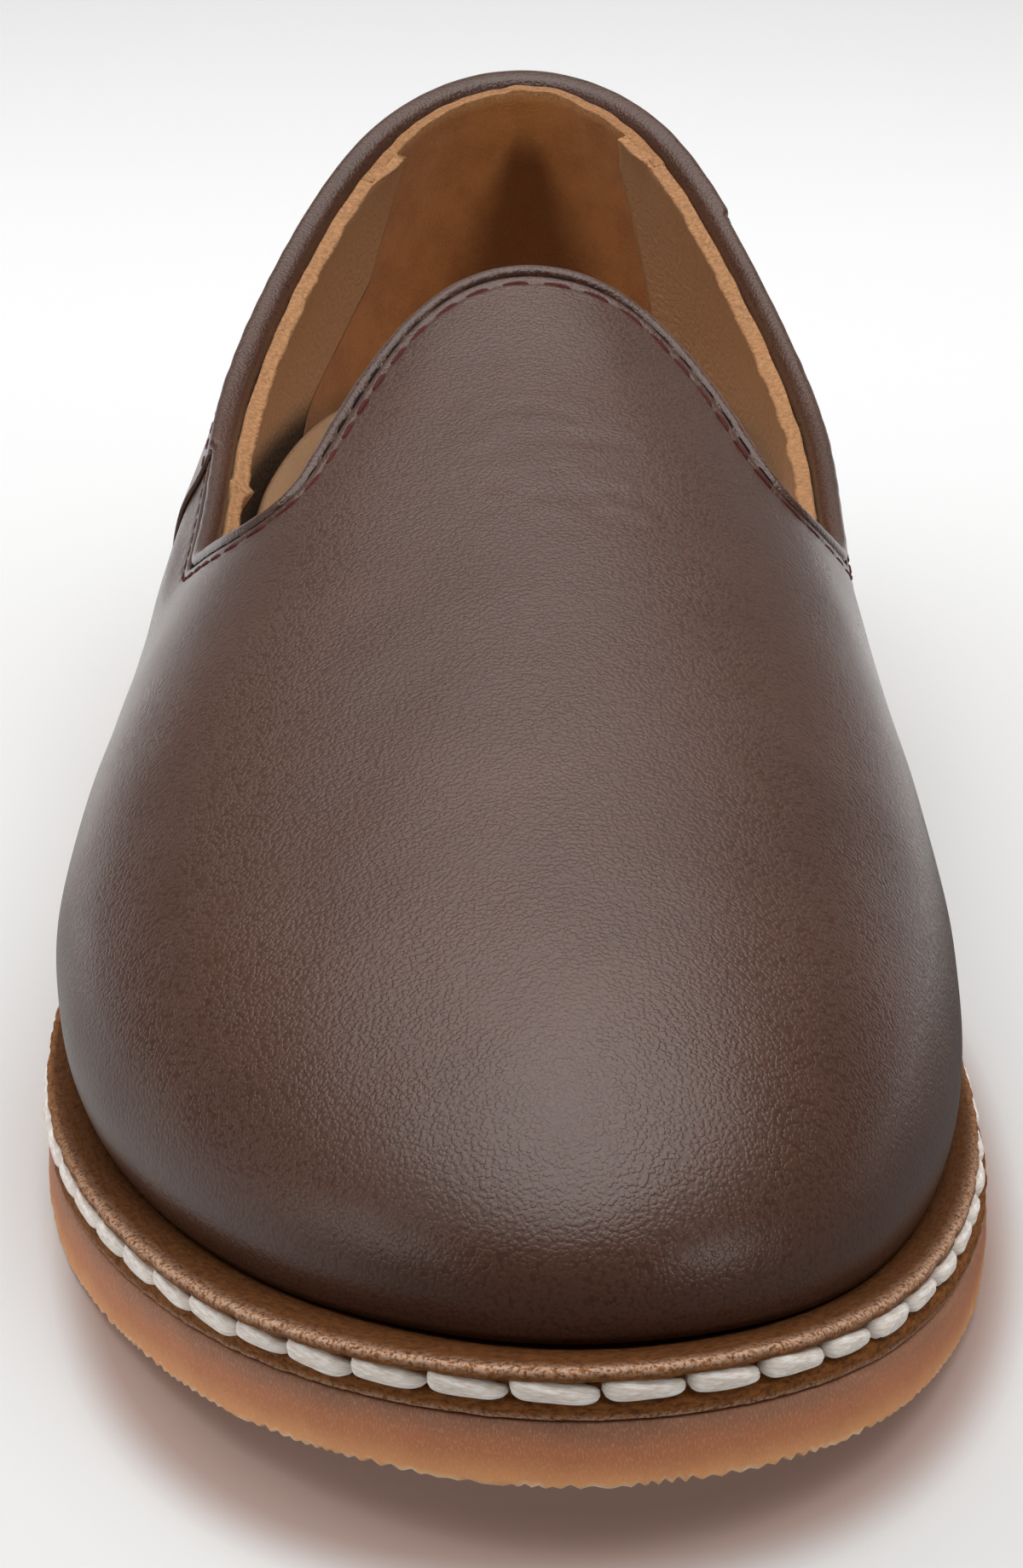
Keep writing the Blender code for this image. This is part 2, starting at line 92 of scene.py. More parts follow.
# Top edge: side view of the quarter's collar, and plan view of the vamp's edge with its tongue
COLLAR_LINE = (
    # y, z
    (-60.0, 44.0),
    (12.0, 47.0),
    (48.0, 50.0),
    (75.0, 56.5),
    (113.0, 70.8),
    (139.0, 80.0),
    (160.0, 86.0),
)
THROAT_LINE = (
    # x, y
    (-60.0, 110.0),
    (-46.0, 46.0),
    (-40.0, 17.5),
    (-36.6, 4.9),
    (-33.0, -6.6),
    (-29.6, -12.0),
    (-27.3, -13.3),
    (-25.0, -11.4),
    (-22.0, -4.0),
    (-19.0, 3.6),
    (-15.3, 10.7),
    (-10.5, 16.5),
    (-5.5, 19.6),
    (1.0, 20.8),
    (8.0, 20.5),
    (13.0, 19.8),
    (18.0, 17.5),
    (22.7, 12.5),
    (27.4, 4.8),
    (30.6, -0.9),
    (32.8, -2.2),
    (35.0, -0.5),
    (37.3, 3.5),
    (40.2, 11.2),
    (44.0, 26.0),
    (60.0, 100.0),
)
CORNER_SOFTNESS = 0.7

# The ribs lean back towards the top on the outer side of the tongue, to cross its edge
LEAN = 20.0
LEAN_AT = 262.0
LEAN_SPAN = 34.0
LEAN_FROM_V = 0.6

# Search steps of the shape functions
SEARCH_STEPS = 6000
RIB_STEPS = 500
SEARCH_FROM_V = 0.3
SEARCH_PAST = 0.25
PLATE_PAST = 0.1
REACH_S = 0.5
REACH_V = 0.002


def smoothstep(t):
    """Three t squared less two t cubed, held at 0 and 1."""
    t = np.clip(t, 0.0, 1.0)
    return t * t * (3.0 - 2.0 * t)


def bell(t):
    """Gaussian bump of height 1 and unit width."""
    return np.exp(-np.asarray(t) ** 2)


def patch(a, b, centre, span):
    """Bell over two coordinates: 1 at the centre, falling with the span of each."""
    return bell((a - centre[0]) / span[0]) * bell((b - centre[1]) / span[1])


def turns(count):
    """Angles of one full turn in even steps."""
    return np.arange(count) * 2.0 * np.pi / count


def superellipse(turn, power):
    """Radius of a rounded square: the powers of cosine and sine summed, to the power -1 / power."""
    return (np.abs(np.cos(turn)) ** power + np.abs(np.sin(turn)) ** power) ** (-1.0 / power)


def uv_grid(along, rise):
    """Flat coordinates of a grid: one length for each column, and a row or a grid of rises."""
    return np.stack(np.broadcast_arrays(along[:, None], rise), -1)


def unit(vectors):
    """Vectors scaled to length 1."""
    return vectors / np.linalg.norm(vectors, axis=-1, keepdims=True)


def open_spline(rows):
    """Natural cubic spline y(x) through rows of x, y."""
    x, y = np.array(rows, float).T
    step = np.diff(x)
    count = len(x)
    system = np.eye(count)
    slope = np.diff(y) / step
    right = np.zeros(count)
    for i in range(1, count - 1):
        system[i, i - 1:i + 2] = step[i - 1], 2.0 * (step[i - 1] + step[i]), step[i]
        right[i] = 6.0 * (slope[i] - slope[i - 1])
    bend = np.linalg.solve(system, right)

    def value(at):
        i = np.clip(np.searchsorted(x, at) - 1, 0, count - 2)
        b = (at - x[i]) / step[i]
        a = 1.0 - b
        cubic = (a ** 3 - a) * bend[i] + (b ** 3 - b) * bend[i + 1]
        return a * y[i] + b * y[i + 1] + cubic * step[i] ** 2 / 6.0

    return value


class StationRing:
    """Closed cubic spline through all station columns, over the length of the sole's outline polygon."""

    def __init__(self, stations):
        self.values = np.array(list(stations.values()), float)
        edge = self.values[:, EDGE]
        self.step = np.linalg.norm(np.roll(edge, -1, 0) - edge, axis=1)
        self.start = np.concatenate([[0.0], np.cumsum(self.step)])
        self.length = self.start[-1]
        count = len(self.step)
        system = np.zeros((count, count))
        for i in range(count):
            system[i, i - 1] += self.step[i - 1]
            system[i, i] += 2.0 * (self.step[i - 1] + self.step[i])
            system[i, (i + 1) % count] += self.step[i]
        slope = (np.roll(self.values, -1, 0) - self.values) / self.step[:, None]
        self.bend = np.linalg.solve(system, 6.0 * (slope - np.roll(slope, 1, 0)))

    def __call__(self, s):
        """All columns at outline length s."""
        s = np.mod(np.asarray(s, float), self.length)
        i = np.clip(np.searchsorted(self.start, s, side="right") - 1, 0, len(self.step) - 1)
        j = (i + 1) % len(self.step)
        step = self.step[i][..., None]
        b = (s - self.start[i])[..., None] / step
        a = 1.0 - b
        cubic = (a ** 3 - a) * self.bend[i] + (b ** 3 - b) * self.bend[j]
        return a * self.values[i] + b * self.values[j] + cubic * step ** 2 / 6.0


RING = StationRing(STATIONS)
collar_z = open_spline(COLLAR_LINE)
throat_y = open_spline(THROAT_LINE)


def column(s, name):
    """One station column at outline length s."""
    return RING(s)[..., STATION_COLUMNS.index(name)]


def outward(s):
    """Unit normal of the sole's outline in plan."""
    along = unit(RING(s + REACH_S)[..., EDGE] - RING(s - REACH_S)[..., EDGE])
    return np.stack([along[..., 1], -along[..., 0]], -1)


def outline(s, inset):
    """Plan point of the sole's outline, moved in by inset."""
    return RING(s)[..., EDGE] - outward(s) * np.asarray(inset)[..., None]


def sheet_z(y):
    """Underside of the rubber sheet: flat under the ball, sprung at the toe, raised from arch to heel."""
    toe = np.clip((SPRING_FROM_Y - y) / (SPRING_FROM_Y - TOE_Y), 0.0, None)
    arch = smoothstep((y - ARCH_FROM_Y) / (ARCH_TO_Y - ARCH_FROM_Y))
    return TOE_SPRING * toe ** SPRING_POWER + HEEL_RISE * arch


def midsole_top_z(y):
    """Top face of the midsole."""
    return sheet_z(y) + RUBBER + MIDSOLE


def skin(s, v):
    """Outer skin of the upper: a cubic rib at s, from the feather at v = 0 to the top of the rib at v = 1."""
    s, v = np.broadcast_arrays(np.asarray(s, float), np.asarray(v, float))
    lean = LEAN * bell((np.mod(s, RING.length) - LEAN_AT) / LEAN_SPAN)
    s = s - lean * smoothstep((v - LEAN_FROM_V) / (1.0 - LEAN_FROM_V))
    stations = RING(s)
    out = outward(s)
    feather = stations[..., EDGE] - out * stations[..., LEDGE]
    foot_z = midsole_top_z(feather[..., 1]) + GAP
    foot = np.concatenate([feather, foot_z[..., None]], -1)
    belly = foot + np.concatenate([out * stations[..., BELLY_OUT], stations[..., BELLY_UP]], -1)
    crown = stations[..., CROWN]
    top = stations[..., TOP]
    v = v[..., None]
    a = 1.0 - v
    return a ** 3 * foot + 3.0 * a * a * v * belly + 3.0 * a * v * v * crown + v ** 3 * top


def skin_normal(s, v):
    """Unit normal of the outer skin, pointing out of the shoe."""
    along = skin(s + REACH_S, v) - skin(s - REACH_S, v)
    rise = skin(s, v + REACH_V) - skin(s, v - REACH_V)
    return unit(np.cross(along, rise))


def opening_depth(point):
    """How far a skin point lies inside the foot opening: behind the throat and above the collar."""
    x = point[..., 0]
    slope = (throat_y(x + REACH_S) - throat_y(x - REACH_S)) / (2.0 * REACH_S)
    behind = (point[..., 1] - throat_y(x)) / np.hypot(1.0, slope)
    above = point[..., 2] - collar_z(point[..., 1])
    low = np.minimum(behind, above)
    spread = np.exp(-(behind - low) / CORNER_SOFTNESS) + np.exp(-(above - low) / CORNER_SOFTNESS)
    return low - CORNER_SOFTNESS * np.log(spread)


def edge_v(s):
    """Place on each rib where the opening depth first passes zero: the top edge."""
    v = np.linspace(SEARCH_FROM_V, 1.0, RIB_STEPS)
    depth = opening_depth(skin(s[:, None], v[None, :]))
    passed = depth > 0.0
    hit = np.where(passed.any(1), passed.argmax(1), len(v) - 1)
    row = np.arange(len(s))
    share = depth[row, hit - 1] / (depth[row, hit - 1] - depth[row, hit])
    return v[hit - 1] + np.clip(share, 0.0, 1.0) * (v[hit] - v[hit - 1])


def place_at_y(y, outer):
    """Outline length where the sole's edge has this y, on the outer or the inner side."""
    s = np.linspace(-SEARCH_PAST * RING.length, (1.0 + SEARCH_PAST) * RING.length, SEARCH_STEPS)
    edge_y = column(s, "edge_y")
    heel = np.argmax(np.where(s < SEARCH_PAST * RING.length, edge_y, -np.inf))
    toe = np.argmin(np.where((s > 0.0) & (s < RING.length), edge_y, np.inf))
    heel_again = np.argmax(np.where(s > (1.0 - SEARCH_PAST) * RING.length, edge_y, -np.inf))
    if outer:
        return np.interp(-np.asarray(y), -edge_y[heel:toe + 1], s[heel:toe + 1])
    return np.interp(y, edge_y[toe:heel_again + 1], s[toe:heel_again + 1])


# Places below the top edge at a true distance from it
FINE_STEPS = 3000
TABLE_COLUMNS = 1800
EDGE_WINDOW = 110
RIM_DEPTH = 60.0
RIM_SAMPLES = 170
RIM_STEP = 0.2
RIM_LEVELS = 41
RIM_CHUNKS = 60
LEVEL_MARGIN = 0.001
TINY = 1e-6


def travelled(points, axis=0):
    """Length along rows of points in one direction of their grid, from the first point."""
    step = np.linalg.norm(np.diff(points, axis=axis), axis=-1)
    return np.concatenate([np.zeros_like(np.take(step, [0], axis)), np.cumsum(step, axis)], axis)


def follow(length, points, at):
    """Points of a path, given with their lengths along it, at other lengths."""
    return np.stack([np.interp(at, length, points[:, k]) for k in range(3)], -1)


FINE_S = np.linspace(0.0, RING.length, FINE_STEPS + 1)
FINE_EDGE = travelled(skin(FINE_S, edge_v(FINE_S)))


def edge_columns(count, weight):
    """Closed row of outline lengths in even steps of outline length plus weight times top-edge length."""
    measure = FINE_S + weight * FINE_EDGE
    return np.interp(np.arange(count) * measure[-1] / count, measure, FINE_S)


TABLE_S = edge_columns(TABLE_COLUMNS, 1.0)


def rim_table():
    """Rib places v at distances 0, RIM_STEP, ... from the top edge.

    Each rib is sampled below the edge. A sample's distance is the least distance to the edge points within a
    window, and the place for a wanted distance is interpolated where the samples first reach it.
    """
    top = edge_v(TABLE_S)
    edge = skin(TABLE_S, top)
    speed = np.linalg.norm(edge - skin(TABLE_S, top - REACH_V), axis=-1) / REACH_V
    depth = np.linspace(0.0, RIM_DEPTH, RIM_SAMPLES)
    v = np.maximum(top[:, None] - depth[None, :] / speed[:, None], 0.0)
    points = skin(TABLE_S[:, None], v)
    window = np.arange(-EDGE_WINDOW, EDGE_WINDOW + 1)
    levels = np.arange(RIM_LEVELS) * RIM_STEP
    table = np.empty((TABLE_COLUMNS, RIM_LEVELS))
    for rows in np.array_split(np.arange(TABLE_COLUMNS), RIM_CHUNKS):
        near = edge[(rows[:, None] + window) % TABLE_COLUMNS]
        apart = points[rows][:, :, None, :] - near[:, None, :, :]
        distance = np.sqrt((apart ** 2).sum(-1).min(-1))
        hit = (distance[:, None, :] >= levels[None, :, None]).argmax(-1)
        hit = np.maximum(hit, 1)
        line = np.arange(len(rows))[:, None]
        low = distance[line, hit - 1]
        share = np.clip((levels - low) / np.maximum(distance[line, hit] - low, TINY), 0.0, 1.0)
        from_v = v[rows][line, hit - 1]
        table[rows] = from_v + share * (v[rows][line, hit] - from_v)
    table[:, 0] = top
    return table


RIM = rim_table()


def rim_v(s, distance):
    """Rib place at a distance below the top edge, read from the table in both directions."""
    s, distance = np.broadcast_arrays(np.asarray(s, float), np.asarray(distance, float))
    at = np.interp(np.mod(s, RING.length), np.append(TABLE_S, RING.length), np.arange(TABLE_COLUMNS + 1))
    i = np.floor(at).astype(int) % TABLE_COLUMNS
    b = at - np.floor(at)
    level = np.clip(distance / RIM_STEP, 0.0, RIM_LEVELS - 1 - LEVEL_MARGIN)
    j = np.floor(level).astype(int)
    c = level - j
    low = RIM[i, j] * (1.0 - c) + RIM[i, j + 1] * c
    ahead = (i + 1) % TABLE_COLUMNS
    high = RIM[ahead, j] * (1.0 - c) + RIM[ahead, j + 1] * c
    return low * (1.0 - b) + high * b


WAVE_COUNT = 20
WAVE_SPREAD = (0.7, 1.5)
WAVE_PEAK = 1.6


def waves(points, length, seed):
    """Smooth unevenness of about -1 to 1: a sum of sine waves in random directions near one wavelength."""
    draw = np.random.default_rng(seed)
    way = unit(draw.normal(size=(WAVE_COUNT, 3)))
    way *= 2.0 * np.pi / (length * draw.uniform(*WAVE_SPREAD, WAVE_COUNT))[:, None]
    phase = draw.uniform(0.0, 2.0 * np.pi, WAVE_COUNT)
    total = np.zeros(points.shape[:-1])
    for k in range(WAVE_COUNT):
        total += np.sin(points @ way[k] + phase[k])
    return total / math.sqrt(0.5 * WAVE_COUNT) / WAVE_PEAK


def uneven(points, swells):
    """Sum of waves, each given as its height, length and seed."""
    return sum(height * waves(points, length, seed) for height, length, seed in swells)


# Meshes

def grid_faces(columns, rows, close_columns, close_rows):
    """Quads of a grid with their unwrapped column and row numbers."""
    i = np.arange(columns if close_columns else columns - 1)
    j = np.arange(rows if close_rows else rows - 1)
    i, j = np.meshgrid(i, j, indexing="ij")
    i = np.stack([i, i + 1, i + 1, i], -1).reshape(-1, 4)
    j = np.stack([j, j, j + 1, j + 1], -1).reshape(-1, 4)
    return (i % columns) * rows + j % rows, i, j


def signed_volume(points, faces):
    """Six times the volume inside the faces of three or four corners, each cut into a fan of triangles."""
    total = 0.0
    for size in (3, 4):
        group = np.array([f for f in faces if len(f) == size])
        if len(group):
            corner = points[group]
            for k in range(1, size - 1):
                total += (corner[:, 0] * np.cross(corner[:, k], corner[:, k + 1])).sum()
    return total


def store_marks(mesh, marks):
    """Keeps named values for each point of a mesh."""
    for label, values in marks.items():
        store = mesh.attributes.new(label, "FLOAT", "POINT")
        store.data.foreach_set("value", np.asarray(values, np.float32).ravel())


def add_piece(name, points, faces, material, uv=None, slot=None, stands_for=(), marks=None):
    """One object from points in millimetres, faces turned outwards, riding on the shoe.

    uv is a list of corner pairs for each face; marks are named values for each point.
    """
    points = np.asarray(points, float).reshape(-1, 3)
    if signed_volume(points - points.mean(0), faces) < 0.0:
        faces = [tuple(f)[::-1] for f in faces]
        if uv is not None:
            uv = [u[::-1] for u in uv]
    mesh = bpy.data.meshes.new(name)
    mesh.from_pydata((points * MM).tolist(), [], [tuple(map(int, f)) for f in faces])
    if uv is not None:
        layer = mesh.uv_layers.new(name="flat")
        layer.data.foreach_set("uv", np.concatenate([np.asarray(u, float).ravel() for u in uv]))
    store_marks(mesh, marks or {})
    mesh.materials.append(material)
    mesh.shade_smooth()
    thing = bpy.data.objects.new(name, mesh)
    bpy.context.scene.collection.objects.link(thing)
    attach(thing, "root")
    if stands_for:
        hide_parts(*stands_for)
    return thing


def add_grid(name, points, material, close_columns=False, cap_columns=False, uv=None, **more):
    """A grid piece with closed rows: points by column and row, with flat end caps where asked.

    uv holds one pair for each column and row, and one more line of them along a closed direction.
    """
    columns, rows = points.shape[:2]
    index, i, j = grid_faces(columns, rows, close_columns, True)
    faces = [tuple(f) for f in index]
    corners = None
    if uv is not None:
        corners = list(uv[i, j])
    if cap_columns:
        for start, way in ((0, 1), ((columns - 1) * rows, -1)):
            for k in range(rows // 2 - 1):
                rung = np.array((k, k + 1, rows - 2 - k, rows - 1 - k)[::way])
                faces.append(tuple(start + rung))
                if corners is not None:
                    corners.append(uv[start // rows, rung])
    return add_piece(name, points, faces, material, uv=corners, **more)


def plate_columns(rows):
    """Outline lengths of a plate's ring in pairs of one y: outer side from heel to toe, then inner side."""
    s = np.linspace(-PLATE_PAST * RING.length, RING.length, SEARCH_STEPS)
    edge_y = column(s, "edge_y")
    heel = s[np.argmax(np.where(s < SEARCH_PAST * RING.length, edge_y, -np.inf))]
    toe = s[np.argmin(edge_y)]
    outer = np.linspace(heel, toe, rows + 1)
    inner = place_at_y(column(outer[1:-1][::-1], "edge_y"), False)
    return np.concatenate([outer, inner])


def ring_points(s, inset, height):
    """One ring of a plate: plan point moved in by inset, at a height above the sheet's underside there."""
    plan = outline(s, inset + np.zeros_like(s))
    return np.concatenate([plan, (sheet_z(plan[:, 1]) + height)[:, None]], 1)


def deck_mesh(ring, base, first, across, lift):
    """Fills a plate's ring, numbered from base, with rungs between its pairs of one y.

    Returns new points, numbered from first, and faces. A rung runs straight from the outer point to the inner
    one, lifted by lift(x, y).
    """
    count = len(ring)
    half = count // 2
    share = np.linspace(0.0, 1.0, across + 1)[1:-1]
    outer = ring[1:half]
    inner = ring[:half:-1]
    points = outer[:, None, :] * (1.0 - share)[None, :, None] + inner[:, None, :] * share[None, :, None]
    points[..., 2] += lift(points[..., 0], points[..., 1])
    index = np.empty((half - 1, across + 1), int)
    index[:, 0] = base + np.arange(1, half)
    index[:, -1] = base + np.arange(count - 1, half, -1)
    index[:, 1:-1] = first + np.arange(points.shape[0] * points.shape[1]).reshape(points.shape[:2])
    quads = np.stack([index[:-1, :-1], index[1:, :-1], index[1:, 1:], index[:-1, 1:]], -1).reshape(-1, 4)
    heel = np.stack([np.full(across, base), index[0, :-1], index[0, 1:]], -1)
    toe = np.stack([index[-1, :-1], np.full(across, base + half), index[-1, 1:]], -1)
    return points.reshape(-1, 3), [tuple(f) for part in (quads, heel, toe) for f in part]


def level_deck(x, y):
    """No lift at all."""
    return np.zeros_like(x)


def add_plate(name, s, rings, material, across, under_lift=level_deck, top_lift=level_deck, marks=None,
              **more):
    """A plate piece: rings from the bottom up, closed by a deck of rungs below and above."""
    rings = np.asarray(rings)
    levels, count = rings.shape[:2]
    walls, i, j = grid_faces(levels, count, False, True)
    length = np.append(s, s[0] + RING.length)
    rise = np.cumsum(np.concatenate([[0.0], np.linalg.norm(np.diff(rings, axis=0), axis=-1).mean(1)]))
    uv = list(np.stack([length[j], rise[i]], -1))
    points = rings.reshape(-1, 3)
    faces = [tuple(f) for f in walls]
    for level, lift, way in ((0, under_lift, 1), (levels - 1, top_lift, -1)):
        more_points, deck = deck_mesh(rings[level], level * count, len(points), across, lift)
        deck = [face[::way] for face in deck]
        points = np.concatenate([points, more_points])
        faces += deck
        uv += [points[list(face)][:, :2] for face in deck]
    rest = len(points) - count * levels
    marks = {label: np.concatenate([np.ravel(values), np.full(rest, np.ravel(values)[-1])])
             for label, values in (marks or {}).items()}
    return add_piece(name, points, faces, material, uv=uv, marks=marks, **more)


# Shader helpers

class Graph:
    """A node tree that is filled by one call a node. A tuple (node, socket) as an input makes a link."""

    def __init__(self, tree):
        self.tree = tree

    def feed(self, node, key, value):
        """Links or sets one input; a colour gets its alpha here."""
        if isinstance(value, tuple) and isinstance(value[0], bpy.types.Node):
            self.tree.links.new(value[0].outputs[value[1]], node.inputs[key])
        else:
            opaque = node.inputs[key].type == "RGBA" and len(value) == 3
            node.inputs[key].default_value = (*value, 1.0) if opaque else value

    def add(self, kind, inputs=None, **settings):
        """A node of a kind, with its settings and its inputs."""
        node = self.tree.nodes.new(kind)
        for key, value in settings.items():
            setattr(node, key, value)
        for key, value in (inputs or {}).items():
            self.feed(node, key, value)
        return node

    def ramp(self, factor, low, high):
        """Factor spread from low..high to 0..1 with soft ends."""
        node = self.add("ShaderNodeMapRange", {"Value": factor, "From Min": low, "From Max": high})
        node.interpolation_type = "SMOOTHSTEP"
        return (node, "Result")

    def maths(self, operation, first, second):
        """One sum or comparison of two values."""
        node = self.add("ShaderNodeMath", {0: first, 1: second}, operation=operation)
        return (node, "Value")

    def scaled(self, value, factor, offset):
        """Value times factor, plus offset."""
        return self.maths("ADD", self.maths("MULTIPLY", value, factor), offset)

    def blend(self, factor, first, second):
        """Colour mix; first and second are colours or links."""
        node = self.add("ShaderNodeMix", {0: factor, 6: first, 7: second}, data_type="RGBA")
        return (node, 2)

    def partly(self, mask, share, first, second):
        """Colour mix by a share of a mask."""
        return self.blend(self.maths("MULTIPLY", mask, share), first, second)

    def noise(self, vector, scale, detail=2.0, roughness=0.5, distortion=0.0):
        """Cloudy noise over a vector."""
        node = self.add("ShaderNodeTexNoise", {"Vector": vector, "Scale": scale, "Detail": detail,
                                               "Roughness": roughness, "Distortion": distortion})
        return (node, "Fac")


def new_group(name, inputs, outputs):
    """A shader node group with named sockets; returns its graph, input node and output node."""
    tree = bpy.data.node_groups.new(name, "ShaderNodeTree")
    for label, kind, value in inputs:
        socket = tree.interface.new_socket(label, in_out="INPUT", socket_type=kind)
        if value is not None:
            socket.default_value = value
    for label in outputs:
        tree.interface.new_socket(label, in_out="OUTPUT", socket_type="NodeSocketFloat")
    graph = Graph(tree)
    return graph, graph.add("NodeGroupInput"), graph.add("NodeGroupOutput")


def grain_group():
    """Fine leather grain: rounded pebbles of a warped cell pattern with pits between them, and a soft tone.

    Line Share trades the pebbles for a noise over the Lines vector. Pit Shade masks the pits, for painted
    shade in them.
    """
    graph, given, out = new_group(
        "leather_grain",
        (("Vector", "NodeSocketVector", None), ("Cells", "NodeSocketFloat", 1300.0),
         ("Lines", "NodeSocketVector", None), ("Line Share", "NodeSocketFloat", 0.0)),
        ("Height", "Tone", "Pit Shade"))
    vector = (given, "Vector")
    cells = (given, "Cells")
    warp = graph.add("ShaderNodeTexNoise", {"Vector": vector, "Scale": graph.maths("MULTIPLY", cells, 0.45)})
    bent = graph.add("ShaderNodeVectorMath", {0: (warp, "Color"), 1: (0.5, 0.5, 0.5)}, operation="SUBTRACT")
    bent = graph.add("ShaderNodeVectorMath", {0: (bent, 0), "Scale": 0.0006}, operation="SCALE")
    moved = graph.add("ShaderNodeVectorMath", {0: vector, 1: (bent, 0)}, operation="ADD")
    pebble = graph.add("ShaderNodeTexVoronoi", {"Vector": (moved, 0), "Scale": cells}, feature="F1")
    crown = graph.ramp((pebble, "Distance"), 0.68, 0.34)
    pores = graph.noise(vector, graph.maths("MULTIPLY", cells, 1.1), 2.0)
    patch = graph.noise(vector, graph.maths("MULTIPLY", cells, 0.06), 2.0)
    lines = graph.noise((given, "Lines"), 1.0, 2.0)
    rough = graph.maths("ADD", graph.maths("MULTIPLY", crown, 0.75), graph.maths("MULTIPLY", pores, 0.6))
    rough = graph.maths("MULTIPLY", rough, graph.maths("ADD", patch, 0.4))
    mixed = graph.add("ShaderNodeMix", {0: (given, "Line Share"), 2: rough, 3: lines}, data_type="FLOAT")
    graph.feed(out, "Height", (mixed, 0))
    soft = graph.noise(vector, graph.maths("MULTIPLY", cells, 0.02), 3.0)
    graph.feed(out, "Tone", soft)
    # Mask of the pits, for painted shade
    low = graph.ramp(crown, 0.55, 0.05)
    graph.feed(out, "Pit Shade", graph.maths("MULTIPLY", low, graph.ramp(pores, 0.6, 0.4)))
    return graph.tree


def fibre_group():
    """Fibres: two stretched noises, one coarse and one fine, for raw leather, thread and nap."""
    graph, given, out = new_group(
        "fibres",
        (("Vector", "NodeSocketVector", None), ("Along", "NodeSocketFloat", 1.0),
         ("Across", "NodeSocketFloat", 1.0)),
        ("Height", "Tone"))
    split = graph.add("ShaderNodeSeparateXYZ", {0: (given, "Vector")})
    stretched = graph.add("ShaderNodeCombineXYZ", {
        0: graph.maths("MULTIPLY", (split, 0), (given, "Along")),
        1: graph.maths("MULTIPLY", (split, 1), (given, "Across")),
        2: graph.maths("MULTIPLY", (split, 2), (given, "Across"))})
    coarse = graph.noise((stretched, 0), 1.0, 3.0, 0.6, 0.4)
    fine = graph.noise((stretched, 0), 3.1, 3.0, 0.65)
    graph.feed(out, "Height", graph.maths("ADD", graph.maths("MULTIPLY", coarse, 0.6),
                                          graph.maths("MULTIPLY", fine, 0.4)))
    graph.feed(out, "Tone", graph.ramp(coarse, 0.3, 0.7))
    return graph.tree


def dust_group():
    """Sparse pale specks: cells of a fine pattern whose random value is high and whose centre is near."""
    graph, given, out = new_group(
        "dust",
        (("Vector", "NodeSocketVector", None), ("Scale", "NodeSocketFloat", 260.0),
         ("Rarity", "NodeSocketFloat", 0.93)),
        ("Mask",))
    cell = graph.add("ShaderNodeTexVoronoi", {"Vector": (given, "Vector"), "Scale": (given, "Scale")})
    pick = graph.add("ShaderNodeSeparateXYZ", {0: (cell, "Color")})
    chosen = graph.maths("GREATER_THAN", (pick, 0), (given, "Rarity"))
    near = graph.ramp((cell, "Distance"), 0.075, 0.035)
    graph.feed(out, "Mask", graph.maths("MULTIPLY", chosen, near))
    return graph.tree


GRAIN = grain_group()
FIBRES = fibre_group()
DUST = dust_group()


class Finish(Graph):
    """A material's graph, with its shader and its coordinates at hand."""

    def __init__(self, name, **constants):
        self.material = bpy.data.materials.new(name)
        self.material.use_nodes = True
        super().__init__(self.material.node_tree)
        self.shader = self.tree.nodes["Principled BSDF"]
        for key, value in constants.items():
            self.shader.inputs[key.replace("_", " ")].default_value = value
        coordinates = self.add("ShaderNodeTexCoord")
        self.place = (coordinates, "Object")
        self.flat = (coordinates, "UV")

    def group(self, tree, **inputs):
        """A shared node group with this material's own values."""
        node = self.add("ShaderNodeGroup", node_tree=tree)
        for key, value in inputs.items():
            self.feed(node, key.replace("_", " "), value)
        return node

    def mark(self, name):
        """A named value of the mesh's points."""
        return (self.add("ShaderNodeAttribute", attribute_name=name), "Fac")

    def stretch(self, vector, scale):
        """A vector scaled along each axis."""
        return (self.add("ShaderNodeMapping", {"Vector": vector, "Scale": scale}), "Vector")

    def in_mm(self):
        """Object coordinates in millimetres."""
        return self.stretch(self.place, (1000.0, 1000.0, 1000.0))

    def set(self, socket, link):
        """Feeds one socket of the shader."""
        self.feed(self.shader, socket, link)

    def bump(self, height, strength, distance):
        """Relief of the shading from a height, with its depth in metres."""
        node = self.add("ShaderNodeBump", {"Height": height, "Strength": strength, "Distance": distance})
        self.set("Normal", (node, "Normal"))


def brown_leather():
    """Dark brown smooth leather: fine pitted grain, drawn into lines near the feather, dark cut edges, and
    painted shade in the grain's pits and in the groove under the binding.
    """
    finish = Finish("brown_leather_finish", Specular_IOR_Level=0.47)
    rise = finish.add("ShaderNodeSeparateXYZ", {0: finish.flat})
    drawn = finish.ramp((rise, 1), 22.0, 4.0)
    lines = finish.stretch(finish.flat, (2.6, 0.3, 1.0))
    grain = finish.group(GRAIN, Vector=finish.place, Cells=2050.0, Lines=lines,
                         Line_Share=finish.maths("MULTIPLY", drawn, 0.5))
    tone = finish.ramp((grain, "Tone"), 0.25, 0.75)
    colour = finish.blend(tone, (0.067, 0.0292, 0.0180), (0.083, 0.0366, 0.0230))
    # Painted shade: the grain's pits darkened in colour
    colour = finish.partly((grain, "Pit Shade"), 0.5, colour, (0.030, 0.012, 0.007))
    # The cut mark darkens real cut edges, and on the upper it also paints shade into the groove under the
    # binding
    cut = finish.mark("cut")
    colour = finish.blend(cut, colour, (0.010, 0.005, 0.0038))
    dust = finish.group(DUST, Vector=finish.place, Scale=230.0, Rarity=0.975)
    colour = finish.blend((dust, "Mask"), colour, (0.40, 0.31, 0.24))
    finish.set("Base Color", colour)
    haze = finish.noise(finish.place, 55.0, 3.0)
    polish = finish.scaled(haze, 0.06, 0.25)
    finish.set("Roughness", finish.maths("ADD", polish, finish.scaled(cut, 0.6, 0.0)))
    finish.bump((grain, "Height"), strength=0.5, distance=0.00012)
    return finish.material


